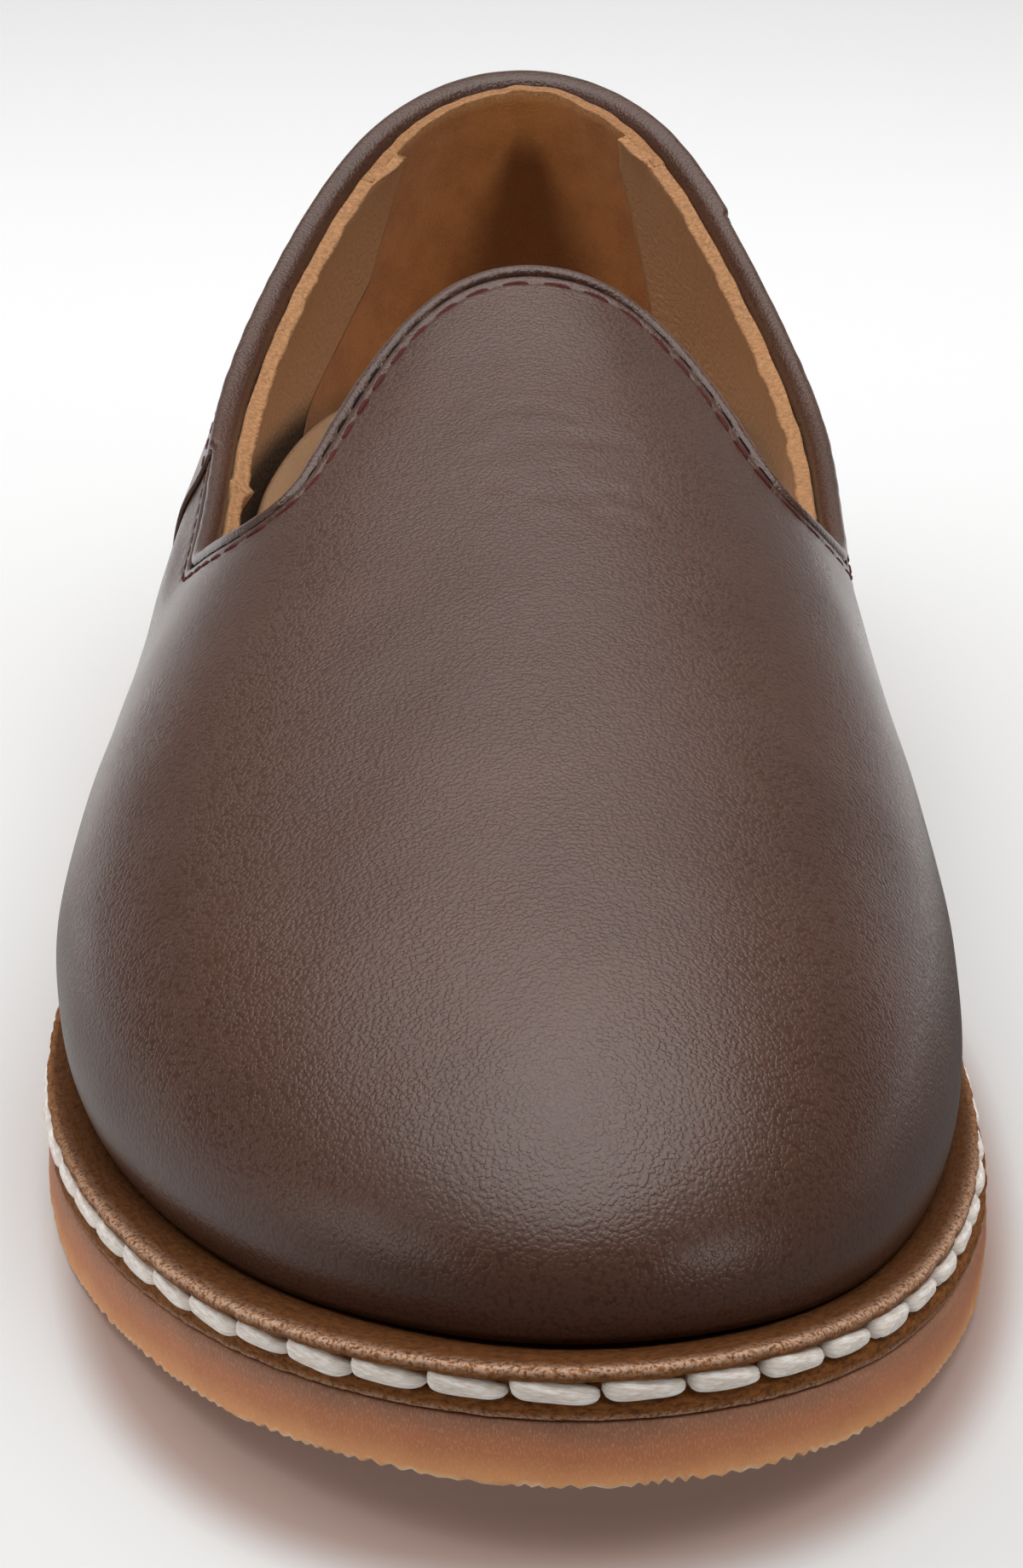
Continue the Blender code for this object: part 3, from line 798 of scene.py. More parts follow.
def edge_leather():
    """Raw leather of the midsole: dark speckled fibres, abraded pale lip, fuzzy line at the rubber, painted
    shade on the ledge.
    """
    finish = Finish("edge_leather_finish", Specular_IOR_Level=0.12)
    fibres = finish.group(FIBRES, Vector=finish.flat, Along=0.9, Across=2.2)
    knots = finish.noise(finish.place, 2600.0, 4.0, 0.65)
    colour = finish.blend((fibres, "Tone"), (0.105, 0.033, 0.007), (0.27, 0.095, 0.02))
    speckle = finish.ramp(knots, 0.45, 0.70)
    colour = finish.partly(speckle, 0.55, colour, (0.27, 0.115, 0.036))
    # Painted shade on the ledge, the midsole's top face beside the upper
    colour = finish.partly(finish.mark("ledge"), 0.62, colour, (0.035, 0.011, 0.004))
    worn = finish.maths("MULTIPLY", finish.mark("wear_and_painted_shade"), finish.ramp(knots, 0.38, 0.58))
    colour = finish.blend(worn, colour, (0.46, 0.30, 0.21))
    finish.set("Base Color", colour)
    finish.set("Roughness", finish.scaled(knots, 0.2, 0.6))
    finish.bump(finish.scaled(knots, 0.7, (fibres, "Height")), strength=0.6, distance=0.0002)
    return finish.material


def gum_rubber():
    """Amber rubber: orange below, greyer above, fine upright rasp marks, pale torn lips at the lower edge."""
    finish = Finish("gum_rubber_finish", Specular_IOR_Level=0.45, Subsurface_Weight=0.15,
                    Subsurface_Radius=(0.004, 0.0016, 0.0006), Subsurface_Scale=1.0)
    rise = finish.mark("rise")
    rasp = finish.group(FIBRES, Vector=finish.flat, Along=5.5, Across=1.4)
    cloud = finish.noise(finish.place, 120.0, 3.0)
    level = finish.maths("ADD", rise, finish.scaled(cloud, 0.3, -0.15))
    colour = finish.blend(finish.ramp(level, 0.0, 0.55), (0.76, 0.335, 0.13), (0.53, 0.186, 0.076))
    colour = finish.blend(finish.ramp(level, 0.5, 1.0), colour, (0.32, 0.142, 0.08))
    colour = finish.partly(finish.ramp((rasp, "Tone"), 0.55, 0.95), 0.3, colour, (0.74, 0.44, 0.26))
    colour = finish.blend(finish.mark("wear_and_painted_shade"), colour, (0.92, 0.72, 0.50))
    finish.set("Base Color", colour)
    finish.set("Roughness", finish.scaled((rasp, "Height"), 0.25, 0.38))
    finish.bump((rasp, "Height"), strength=0.45, distance=0.00022)
    return finish.material


RAW_DARK = 0.6


def lining_leather(name, dark, light, raw):
    """Smooth lining leather with a raw, fibrous cut edge, and painted shade near black where the side lining
    runs down beside the insole.
    """
    finish = Finish(name, Specular_IOR_Level=0.3)
    grain = finish.group(GRAIN, Vector=finish.place, Cells=1200.0, Lines=finish.flat)
    fibres = finish.group(FIBRES, Vector=finish.in_mm(), Along=1.6, Across=2.0)
    colour = finish.blend((grain, "Tone"), dark, light)
    edge = finish.blend((fibres, "Tone"), tuple(RAW_DARK * c for c in raw), raw)
    colour = finish.blend(finish.mark("cut"), colour, edge)
    # Painted shade: near black on the side lining's low part, down in the gap by the insole
    colour = finish.blend(finish.mark("painted_deep_shade"), colour, (0.02, 0.010, 0.005))
    finish.set("Base Color", colour)
    finish.set("Roughness", finish.scaled((fibres, "Height"), 0.2, 0.62))
    finish.bump(finish.maths("ADD", (grain, "Height"), (fibres, "Height")), strength=0.4, distance=0.0003)
    return finish.material


def suede_lining():
    """Heel lining of napped leather: mottled orange brown, a painted shade wedge darkening the middle of the
    heel, raw tan cut edge.
    """
    finish = Finish("suede_lining_finish", Specular_IOR_Level=0.15, Sheen_Weight=0.15, Sheen_Roughness=0.5)
    nap = finish.group(FIBRES, Vector=finish.in_mm(), Along=2.0, Across=2.4)
    cloud = finish.noise(finish.place, 170.0, 4.0, 0.65)
    colour = finish.blend(finish.ramp(cloud, 0.32, 0.68), (0.365, 0.143, 0.036), (0.475, 0.202, 0.059))
    colour = finish.partly((nap, "Tone"), 0.3, colour, (0.58, 0.27, 0.095))
    # Painted shade: a dark wedge in the middle of the heel lining, carried by this mark
    colour = finish.blend(finish.mark("wear_and_painted_shade"), colour, (0.10, 0.028, 0.003))
    raw = finish.blend((nap, "Tone"), (0.27, 0.125, 0.05), (0.44, 0.215, 0.09))
    colour = finish.blend(finish.mark("cut"), colour, raw)
    finish.set("Base Color", colour)
    finish.set("Roughness", finish.scaled(cloud, 0.15, 0.8))
    finish.bump((nap, "Height"), strength=0.8, distance=0.0004)
    return finish.material


def thread(name, dark, light, along, across, glow=0.0):
    """Twisted thread: fine strands along its length with darker gaps and a few soiled places."""
    finish = Finish(name, Specular_IOR_Level=0.1, Subsurface_Weight=glow, Subsurface_Scale=1.0,
                    Subsurface_Radius=(0.0015, 0.0013, 0.0011))
    strands = finish.group(FIBRES, Vector=finish.flat, Along=along, Across=across)
    soil = finish.ramp(finish.noise(finish.place, 420.0, 3.0), 0.60, 0.74)
    colour = finish.blend((strands, "Tone"), dark, light)
    colour = finish.partly(soil, 0.5, colour, dark)
    finish.set("Base Color", colour)
    finish.set("Roughness", finish.scaled((strands, "Height"), 0.2, 0.6))
    finish.bump((strands, "Height"), strength=0.9, distance=0.0003)
    return finish.material


# Upper, quarter and binding; the corners are the outline lengths where the collar meets the vamp's edge
CORNERS = (179.0, 494.2)
UPPER_COLUMNS = 690
UPPER_WEIGHT = 1.4
MAIN_ROWS = 112
ROW_CROWDING = 0.45
FAR_BELOW = 9.0
RIM_DISTANCES = (7.0, 6.2, 5.5, 5.0, 4.6, 4.3, 4.0, 3.75, 3.5, 3.1, 2.75, 2.5, 2.35, 2.2, 2.05)
TUCK = ((1.75, -0.95), (1.3, -1.3))
INNER_ROWS = 8
LEATHER = 1.3
STITCH_DISTANCE = 4.0
STITCH_PITCH = 4.9
GROOVE_DISTANCE = 2.1
# Half width of the painted shade in the groove under the binding
GROOVE_SHADE = 0.42
# Rounded lines below the top edge: height, distance from the edge, half width
GROOVE = (0.95, GROOVE_DISTANCE, 0.36)
GROOVE_RIDGE = (0.12, 3.0, 0.5)
CHANNEL = (0.22, STITCH_DISTANCE, 0.36)
PUCKER = (0.08, 4.85, 0.45)
# How much the channel and the pucker change along each stitch
CHANNEL_BEAT = 0.25
PUCKER_BEAT = 0.45
INNER_TOP = 0.97
# Unevenness: height, length, seed
UPPER_WAVES = ((0.12, 38.0, 3), (0.045, 15.0, 4))
QUARTER_WAVES = ((0.06, 30.0, 11),)
BINDING_WAVES = ((0.03, 4.5, 21),)
# Creases across the tongue in plan: depth (less than zero is a ridge), half width, x and y pairs
CREASES = (
    (0.14, 0.8, ((-3.5, -10.5), (1.9, -9.3), (7.3, -11.0))),
    (0.17, 0.8, ((-1.7, -16.7), (3.2, -16.2), (8.1, -16.0), (13.8, -15.0))),
    (0.19, 0.8, ((-2.7, -25.2), (0.4, -26.6), (4.3, -28.0), (12.1, -26.0))),
    (0.12, 0.7, ((5.4, -23.9), (6.8, -23.7))),
    (-0.14, 1.0, ((11.0, -28.7), (15.2, -29.9))),
    (-0.12, 0.9, ((2.6, -30.5), (5.6, -29.9))),
    (-0.12, 0.9, ((3.2, -32.0), (7.5, -32.1))),
)
# Fine wrinkles among the creases
WRINKLE_AT = (5.0, -20.0)
WRINKLE_SPAN = (13.0, 11.0)
WRINKLE_STRETCH = (0.22, 1.0, 0.6)
WRINKLE_LENGTH = 3.4
WRINKLE_DEPTH = 0.09
WRINKLE_SEED = 7
SHOULDER = 0.45
QUARTER_LOW = 0.12
QUARTER_THICK = 0.6
QUARTER_FLARE = 0.12
FLARE_SPAN = 9.0
QUARTER_OUTER_Y = 46.0
QUARTER_INNER_Y = 105.0
QUARTER_FOOT = 0.03
QUARTER_COLUMNS = 230
QUARTER_ROWS = 44
QUARTER_HEAD = 1.75
QUARTER_ENDS = (0.0, 0.06, 0.16, 0.35, 0.7)
QUARTER_ROUND = 0.35
QUARTER_EDGE = 0.35
QUARTER_CUT = 0.25
QUARTER_CUT_FADE = (0.05, 0.25)
COVER_FADE = 1.6
QUARTER_FIRST = float(place_at_y(QUARTER_INNER_Y, False)) - RING.length
QUARTER_LAST = float(place_at_y(QUARTER_OUTER_Y, True))
BINDING_COLUMNS = 1150
BINDING_WEIGHT = 3.0
BINDING_COVER = 1.2
BINDING_PULL = 1.5
BINDING_UV_FROM = 27.0
BINDING_PROFILE = (
    # a: up from the top edge; b: out from the skin
    (-1.95, -0.7),
    (-1.85, -0.2),
    (-1.7, 0.15),
    (-1.35, 0.38),
    (-0.9, 0.42),
    (-0.45, 0.3),
    (-0.1, 0.0),
    (0.05, -0.45),
    (0.05, -1.0),
    (-0.1, -1.55),
    (-0.45, -2.1),
    (-1.0, -2.45),
    (-1.6, -2.8),
    (-2.4, -3.1),
    (-2.6, -1.5),
)


def crease_relief(points):
    """The tongue's creases: each a soft trough or ridge with shoulders along a bent line in plan."""
    x = points[..., 0]
    y = points[..., 1]
    relief = np.zeros_like(x)
    for depth, width, line in CREASES:
        nearest = np.full_like(x, np.inf)
        for (ax, ay), (bx, by) in zip(line[:-1], line[1:]):
            length = (bx - ax) ** 2 + (by - ay) ** 2
            share = np.clip(((x - ax) * (bx - ax) + (y - ay) * (by - ay)) / length, 0.0, 1.0)
            nearest = np.minimum(nearest, np.hypot(x - ax - share * (bx - ax), y - ay - share * (by - ay)))
        relief -= depth * (bell(nearest / width) - SHOULDER * bell((nearest - 2.0 * width) / width))
    return relief


def on_quarter(s):
    """1 where the rear overlay covers the upper, falling softly to 0 at its front edges."""
    s = np.mod(s - QUARTER_FIRST, RING.length) + QUARTER_FIRST
    first = smoothstep((s - QUARTER_FIRST) / COVER_FADE + 0.5)
    return first * smoothstep((QUARTER_LAST - s) / COVER_FADE + 0.5)


# Swell of the outer side: height, centre in y and z, its spans, and its fade below the top edge
BULGE = 1.15
BULGE_AT = (30.0, 39.0)
BULGE_SPAN = (30.0, 12.0)
BULGE_CLEAR = 4.5
BULGE_FADE = 6.0


def side_bulge(s, base):
    """Soft swell of the outer side below the collar's corner: a bell in y and z.

    It fades out towards the top edge, where the seams keep their place.
    """
    top = skin(s[:, None], rim_v(s, 0.0)[:, None])
    fall = np.linalg.norm(base - top, axis=-1)
    full = patch(base[..., 1], base[..., 2], BULGE_AT, BULGE_SPAN)
    return BULGE * (base[..., 0] < 0.0) * full * smoothstep((fall - BULGE_CLEAR) / BULGE_FADE)


def swell(below, line):
    """Height of a rounded line that follows the top edge, by the distance below that edge."""
    height, distance, width = line
    return height * bell((below - distance) / width)


def make_upper(material):
    """Outer skin with top-edge groove, stitch channel, creases and soft unevenness, then the inner face. The
    cut mark darkens the tucked cut edge and paints shade into the groove.
    """
    s = edge_columns(UPPER_COLUMNS, UPPER_WEIGHT)
    share = np.linspace(0.0, 1.0, MAIN_ROWS + 1)[:-1]
    rim = rim_v(s[:, None], np.array(RIM_DISTANCES)[None, :])
    main = rim[:, :1] * (share + ROW_CROWDING * share * (1.0 - share))[None, :]
    v = np.concatenate([main, rim], 1)
    base = skin(s[:, None], v)
    below = np.concatenate([np.full(main.shape, FAR_BELOW), np.broadcast_to(RIM_DISTANCES, rim.shape)], 1)
    seam = base[:, MAIN_ROWS + RIM_DISTANCES.index(STITCH_DISTANCE)]
    beat = np.cos(2.0 * np.pi * travelled(seam) / STITCH_PITCH)[:, None]
    wrinkled = WRINKLE_DEPTH * patch(base[..., 0], base[..., 1], WRINKLE_AT, WRINKLE_SPAN)
    height = uneven(base, UPPER_WAVES) + crease_relief(base) + side_bulge(s, base)
    height += wrinkled * waves(base * np.array(WRINKLE_STRETCH), WRINKLE_LENGTH, WRINKLE_SEED)
    height += swell(below, GROOVE_RIDGE) - swell(below, GROOVE)
    height -= swell(below, CHANNEL) * (1.0 - CHANNEL_BEAT - CHANNEL_BEAT * beat)
    height += swell(below, PUCKER) * (1.0 - PUCKER_BEAT + PUCKER_BEAT * beat)
    outer = base + height[..., None] * skin_normal(s[:, None], v)
    tuck_down, tuck_off = np.array(TUCK).T
    tuck_v = rim_v(s[:, None], tuck_down[None, :])
    tuck = skin(s[:, None], tuck_v) + tuck_off[None, :, None] * skin_normal(s[:, None], tuck_v)
    inner_v = tuck_v[:, -1:] * np.linspace(INNER_TOP, 0.0, INNER_ROWS)[None, :]
    inner = skin(s[:, None], inner_v) - LEATHER * skin_normal(s[:, None], inner_v)
    points = np.concatenate([outer, tuck, inner], 1)
    rise = travelled(points, 1)
    rise = np.concatenate([rise, rise[:, -1:] + LEATHER], 1)
    uv = uv_grid(np.append(s, RING.length), np.concatenate([rise, rise[:1]], 0))
    # Painted shade in the groove under the binding
    painted_groove_shade = bell((below - GROOVE_DISTANCE) / GROOVE_SHADE)
    cut = np.concatenate([painted_groove_shade, np.ones(tuck.shape[:2]), np.zeros(inner.shape[:2])], 1)
    return add_grid("upper_leather", points, material, True, uv=uv, slot="brown_leather",
                    stands_for=("upper",), marks={"cut": cut})


def make_quarter(material):
    """Rear overlay: a sheet that follows the skin and stands off a little at its outer front edge.

    Its front edges are rounded and dark, and its top is tucked under the binding.
    """
    s = np.linspace(QUARTER_FIRST, QUARTER_LAST, QUARTER_COLUMNS)
    ends = np.array(QUARTER_ENDS)
    s = np.concatenate([QUARTER_FIRST + ends, s[2:-2], QUARTER_LAST - ends[::-1]])
    near = np.minimum(s - QUARTER_FIRST, QUARTER_LAST - s)
    full = np.sqrt(1.0 - (1.0 - np.clip(near / QUARTER_ROUND, 0.0, 1.0)) ** 2)[:, None]
    share = np.linspace(0.0, 1.0, QUARTER_ROWS)[None, :]
    head = rim_v(s, QUARTER_HEAD)[:, None]
    v = head * (QUARTER_FOOT + share * (1.0 - QUARTER_FOOT))
    base = skin(s[:, None], v)
    normal = skin_normal(s[:, None], v)
    flare = QUARTER_FLARE * bell((QUARTER_LAST - s[:, None]) / FLARE_SPAN) * np.sin(np.pi * share)
    low = QUARTER_LOW + flare + side_bulge(s, base)
    under = base + low[..., None] * normal
    high = low + QUARTER_THICK * (QUARTER_EDGE + (1.0 - QUARTER_EDGE) * full) + uneven(base, QUARTER_WAVES)
    over = base + high[..., None] * normal
    points = np.concatenate([over, under[:, ::-1]], 1)
    rise = travelled(over, 1)
    uv = uv_grid(s, np.concatenate([rise, rise[:, ::-1], rise[:, :1]], 1))
    fade = 1.0 - smoothstep((near - QUARTER_CUT_FADE[0]) / QUARTER_CUT_FADE[1])
    cut = np.broadcast_to(QUARTER_CUT * fade[:, None], points.shape[:2])
    return add_grid("quarter_leather", points, material, cap_columns=True, uv=uv, slot="brown_leather",
                    stands_for=("quarter",), marks={"cut": cut})


def make_binding(material):
    """Rolled binding: a rounded profile carried along the top edge, thicker where it covers the overlay."""
    s = edge_columns(BINDING_COLUMNS, BINDING_WEIGHT)
    top = rim_v(s, 0.0)
    edge = skin(s, top)
    along = unit(np.roll(edge, -1, 0) - np.roll(edge, 1, 0))
    normal = skin_normal(s, top)
    normal = unit(normal - (normal * along).sum(-1, keepdims=True) * along)
    rise = np.cross(along, normal)
    up = edge - skin(s, top - REACH_V)
    rise *= np.sign((rise * up).sum(-1, keepdims=True))
    a, b = np.array(BINDING_PROFILE).T
    lift = on_quarter(s)[:, None] * QUARTER_THICK * smoothstep(b[None, :] / BINDING_COVER + 1.0)
    pulls = uneven(edge, BINDING_WAVES)[:, None] * smoothstep(b[None, :] / BINDING_PULL + 1.0)
    points = (edge[:, None, :] + a[None, :, None] * rise[:, None, :]
              + (b[None, :] + lift + pulls)[..., None] * normal[:, None, :])
    travel = travelled(np.concatenate([edge, edge[:1]]))
    around = travelled(np.array(BINDING_PROFILE + BINDING_PROFILE[:1])) + BINDING_UV_FROM
    uv = uv_grid(travel, around)
    return add_grid("binding_leather", points, material, True, uv=uv, slot="brown_leather",
                    stands_for=("topline_binding",), marks={"cut": np.zeros(points.shape[:2])})


# Linings: offsets are measured inwards from the skin, ends are outline lengths
SIDE_FROM = 40.0
SIDE_TO = 630.5
# How far a lining's end lies from its top corner along the outline, by share of the height
OUTER_DRIFT = ((0.0, 18.0), (0.29, 9.0), (0.43, 0.5), (0.58, -5.5), (0.75, -5.2), (0.9, -3.2), (1.0, 0.0))
INNER_DRIFT = ((0.0, 3.0), (0.34, 5.6), (0.45, 7.0), (0.66, 6.8), (0.87, 5.4), (1.0, 0.0))
HEEL_DRIFT = ((0.0, 18.0), (0.29, 12.0), (0.5, 0.0), (1.0, 0.0))
DRIFT_SPAN = 40.0
HEEL_FROM = -43.5
HEEL_TO = 48.5
SIDE_COLUMNS = 520
HEEL_COLUMNS = 150
LINING_OUTER = 3.0
SIDE_STRIP = 2.1
HEEL_STRIP = 1.6
END_STRIP = 1.5
SIDE_CREST = 1.25
HEEL_CREST = 0.7
LINING_BACK = 1.55
LINING_FOOT_IN = 2.75
LINING_FOOT_V = 0.02
LINING_TOP = 0.9
LINING_TOP_RANGE = (0.2, 3.0)
FACE_ROWS = 30
CUT_ROWS = 6
BODY_POWER = 1.6
CREST_POWER = 8.0
# Painted shade wedge in the middle of the heel lining: its centre in x, its top as a share of the height, its
# half width per share below that top, its strength
HEEL_SHADE_X = 2.0
HEEL_SHADE_TOP = 0.94
HEEL_SHADE_WIDTH = 34.0
HEEL_SHADE_SHARE = 0.78
NUB_AT = 130.0
NUB_SPAN = 1.5
# Painted shade low on the outer side lining: its reach above the insole's rim, its fade and its strength
DEEP_SHADE_ABOVE = 4.0
DEEP_SHADE_SPAN = 5.0
DEEP_SHADE_SHARE = 0.85
# The nub stands up and inwards, thins the back of the lining, and leaves a hollow past it
NUB_UP = 0.5
NUB_IN = 1.4
NUB_THIN = 0.7
NUB_HOLLOW = 0.3
HOLLOW_LENGTH = 30.0
HOLLOW_FADE = 20.0
# The vamp's share of the lining is lower and narrower
VAMP_SHIFT = 4.0
VAMP_FADE = 10.0
VAMP_LOWER = 0.5
VAMP_NARROWER = 0.55
OVERLAP_SHIFT = 0.5
OVERLAP_FADE = 6.0
HEEL_FADE = 8.0
HEEL_BACK = 0.1
BACK_FROM = 0.7
# Painted shade wedge of the heel lining: softness of its sides and top, least half width
HEEL_SHADE_SIDES = 1.4
HEEL_SHADE_FADE = 0.1
HEEL_SHADE_LEAST = 0.5
# Unevenness of a lining's cut edge: height, length, seed
SIDE_TOP_WAVES = ((0.25, 14.0, 31), (0.12, 4.0, 32))
SIDE_EDGE_WAVES = ((0.14, 7.0, 34), (0.08, 2.6, 35))
SIDE_BACK_WAVES = ((0.10, 6.0, 36),)
HEEL_TOP_WAVES = ((0.2, 16.0, 41), (0.10, 4.0, 42))
HEEL_BACK_WAVES = ((0.10, 6.0, 43),)
HEEL_EDGE_WAVES = ((0.10, 5.0, 44),)
# The insole's rim cups the heel
CUP_RISE = 10.5
CUP_FROM_Y = 35.0
CUP_FULL_Y = 82.0


def cup_rise(y):
    """Height of the insole's rim above its deck."""
    return CUP_RISE * smoothstep((y - CUP_FROM_Y) / (CUP_FULL_Y - CUP_FROM_Y))


def drifted(s, share, end, table):
    """Outline lengths moved along by a drift table, fading away from the lining's end."""
    near = smoothstep(1.0 - np.abs(s - end) / DRIFT_SPAN)
    return near * np.interp(share, *np.array(table).T)


def lining_sheet(s, drift, outer, inner, crest, top):
    """Closed rows of a lining at each s: outer face up, cut edge, inner face down; and 1 on the cut edge.

    outer and inner are the offsets at the cut edge, and crest is the part of inner that fades just below it.
    top is the edge's distance below the collar, and drift(s, share) moves points along the outline.
    """
    up = np.linspace(0.0, 1.0, FACE_ROWS)[None, :]
    down = up[:, ::-1]
    cut = np.linspace(0.0, 1.0, CUT_ROWS)[None, 1:-1]

    def face(share, offset):
        place = s[:, None] + drift(s[:, None], share)
        v = LINING_FOOT_V + share * (rim_v(place, top[:, None]) - LINING_FOOT_V)
        return skin(place, v) - offset[..., None] * skin_normal(place, v)

    back = LINING_BACK + (outer[:, None] - LINING_BACK) * smoothstep((up - BACK_FROM) / (1.0 - BACK_FROM))
    body = (inner - crest - LINING_FOOT_IN)[:, None] * down ** BODY_POWER
    front = LINING_FOOT_IN + body + crest[:, None] * down ** CREST_POWER
    edge = outer[:, None] + (inner - outer)[:, None] * cut
    points = np.concatenate([face(up, back), face(np.ones_like(cut), edge), face(down, front)], 1)
    raw = np.zeros(points.shape[:2])
    raw[:, FACE_ROWS - 1:FACE_ROWS + CUT_ROWS - 1] = 1.0
    return points, raw


def make_side_lining(material):
    """Lining of the sides and the vamp, over the heel lining at its ends, with a nub at the outer side and a
    painted shade low on the outer side.
    """
    measure = FINE_S + FINE_EDGE
    first, last = np.interp((SIDE_FROM, SIDE_TO), FINE_S, measure)
    s = np.interp(np.linspace(first, last, SIDE_COLUMNS), measure, FINE_S)
    over = (smoothstep((HEEL_TO + OVERLAP_SHIFT - s) / OVERLAP_FADE)
            + smoothstep((s - RING.length - HEEL_FROM + OVERLAP_SHIFT) / OVERLAP_FADE))
    vamp = (smoothstep((s - CORNERS[0] + VAMP_SHIFT) / VAMP_FADE)
            * smoothstep((CORNERS[1] + VAMP_SHIFT - s) / VAMP_FADE))
    nub = bell((s - NUB_AT) / NUB_SPAN)
    hollow_end = 1.0 - smoothstep((s - NUB_AT - HOLLOW_LENGTH) / HOLLOW_FADE)
    past_nub = smoothstep((s - NUB_AT) / NUB_SPAN) * hollow_end
    edge = skin(s, rim_v(s, 0.0))
    outer = LINING_OUTER + HEEL_STRIP * over - NUB_THIN * nub + uneven(edge, SIDE_BACK_WAVES)
    strip = SIDE_STRIP * (1.0 - VAMP_NARROWER * vamp) + (END_STRIP - SIDE_STRIP) * over
    inner = outer + strip + NUB_IN * nub - NUB_HOLLOW * past_nub + uneven(edge, SIDE_EDGE_WAVES)
    top = LINING_TOP + uneven(edge, SIDE_TOP_WAVES) + VAMP_LOWER * vamp - NUB_UP * nub

    def drift(place, share):
        return drifted(place, share, SIDE_FROM, OUTER_DRIFT) + drifted(place, share, SIDE_TO, INNER_DRIFT)

    points, raw = lining_sheet(s, drift, outer, inner, SIDE_CREST * over, np.clip(top, *LINING_TOP_RANGE))
    # Painted shade on the outer side: full at the insole's rim, fading out a little above it
    cup = midsole_top_z(points[..., 1]) + INSOLE + cup_rise(points[..., 1])
    painted_deep_shade = DEEP_SHADE_SHARE * smoothstep((cup + DEEP_SHADE_ABOVE - points[..., 2]) / DEEP_SHADE_SPAN) * (points[..., 0] < 0.0)
    return add_grid("side_lining", points, material, cap_columns=True, slot="tan_leather",
                    marks={"cut": raw * (1.0 - vamp)[:, None], "painted_deep_shade": painted_deep_shade})


def make_heel_lining(material):
    """Napped lining round the heel, thinned under the ends of the side lining, with a painted shade wedge in
    its middle.
    """
    s = np.linspace(HEEL_FROM, HEEL_TO, HEEL_COLUMNS)
    edge = skin(s, rim_v(s, 0.0))
    outer = LINING_OUTER - HEEL_BACK + uneven(edge, HEEL_BACK_WAVES)
    ends = smoothstep((s - HEEL_FROM) / HEEL_FADE) * smoothstep((HEEL_TO - s) / HEEL_FADE)
    inner = outer + HEEL_STRIP + uneven(edge, HEEL_EDGE_WAVES)
    top = LINING_TOP + uneven(edge, HEEL_TOP_WAVES)

    def drift(place, share):
        return drifted(place, share, HEEL_TO, HEEL_DRIFT)

    top = np.clip(top, *LINING_TOP_RANGE)
    points, raw = lining_sheet(s, drift, outer, inner, HEEL_CREST * (1.0 - ends), top)
    # Painted shade: a dark wedge in the middle of the heel, widening downwards from near the top
    height = points[..., 2] / points[..., 2].max()
    half = HEEL_SHADE_WIDTH * np.clip(HEEL_SHADE_TOP - height, 0.0, 1.0) + HEEL_SHADE_LEAST
    painted_wedge_shade = smoothstep(HEEL_SHADE_SIDES - np.abs(points[..., 0] - HEEL_SHADE_X) / half)
    painted_wedge_shade *= smoothstep((HEEL_SHADE_TOP - height) / HEEL_SHADE_FADE)
    return add_grid("heel_lining", points, material, cap_columns=True, slot="tan_leather",
                    marks={"cut": raw, "wear_and_painted_shade": HEEL_SHADE_SHARE * painted_wedge_shade * (1.0 - raw)})


# Sole pieces
MIDSOLE_ROWS = 700
MIDSOLE_ACROSS = 6
LIP_HEIGHT = 4.9
MIDSOLE_SIDE = (
    # inset, lip share, height above the rubber, wear
    (2.5, 0.0, 0.10, 0.0),
    (0.7, 0.0, 0.06, 0.3),
    (0.25, 0.0, 0.22, 1.0),
    (0.1, 0.0, 0.5, 0.6),
    (0.05, 0.0, 0.9, 0.0),
    (0.08, 0.0, 1.5, 0.0),
    (0.25, 0.05, 1.95, 0.0),
    (0.9, 0.15, 2.2, 0.0),
    (1.4, 0.2, 2.7, 0.0),
    (1.5, 0.3, 3.4, 0.0),
    (1.3, 0.45, 4.0, 0.0),
    (0.7, 0.75, 4.35, 0.0),
    (0.3, 0.95, 4.6, 0.0),
    (0.08, 1.0, 4.95, 0.0),
    (0.0, 1.0, 5.35, 0.5),
    (0.1, 1.0, 5.7, 1.0),
    (0.4, 1.0, 5.92, 1.0),
    (0.95, 1.0, 6.04, 0.35),
    (1.8, 0.85, 6.12, 0.0),
    (2.8, 0.4, 6.16, 0.0),
    (4.0, 0.1, 6.1, 0.0),
    (4.9, 0.0, 5.9, 0.0),
    (5.8, 0.0, 5.7, 0.0),
)
SIDE_TOP = 6.0
LIP_FROM = 4.0
LEDGE_FROM = 0.9
LIP_PULL = 0.30
PULL_WIDTH = 0.7
WORN_FROM_Y = -60.0
WORN_FADE = 50.0
WORN_LEAST = 0.12
LEAST_RISE = 0.02
STITCHES = 82
STITCH_PHASE = 5.2
STITCH_HEIGHT = 3.5
STITCH_INSET = 0.55
STITCH_LIP_SHARE = 0.75
PATH_STEPS = 2400
OUTSOLE_ROWS = 1000
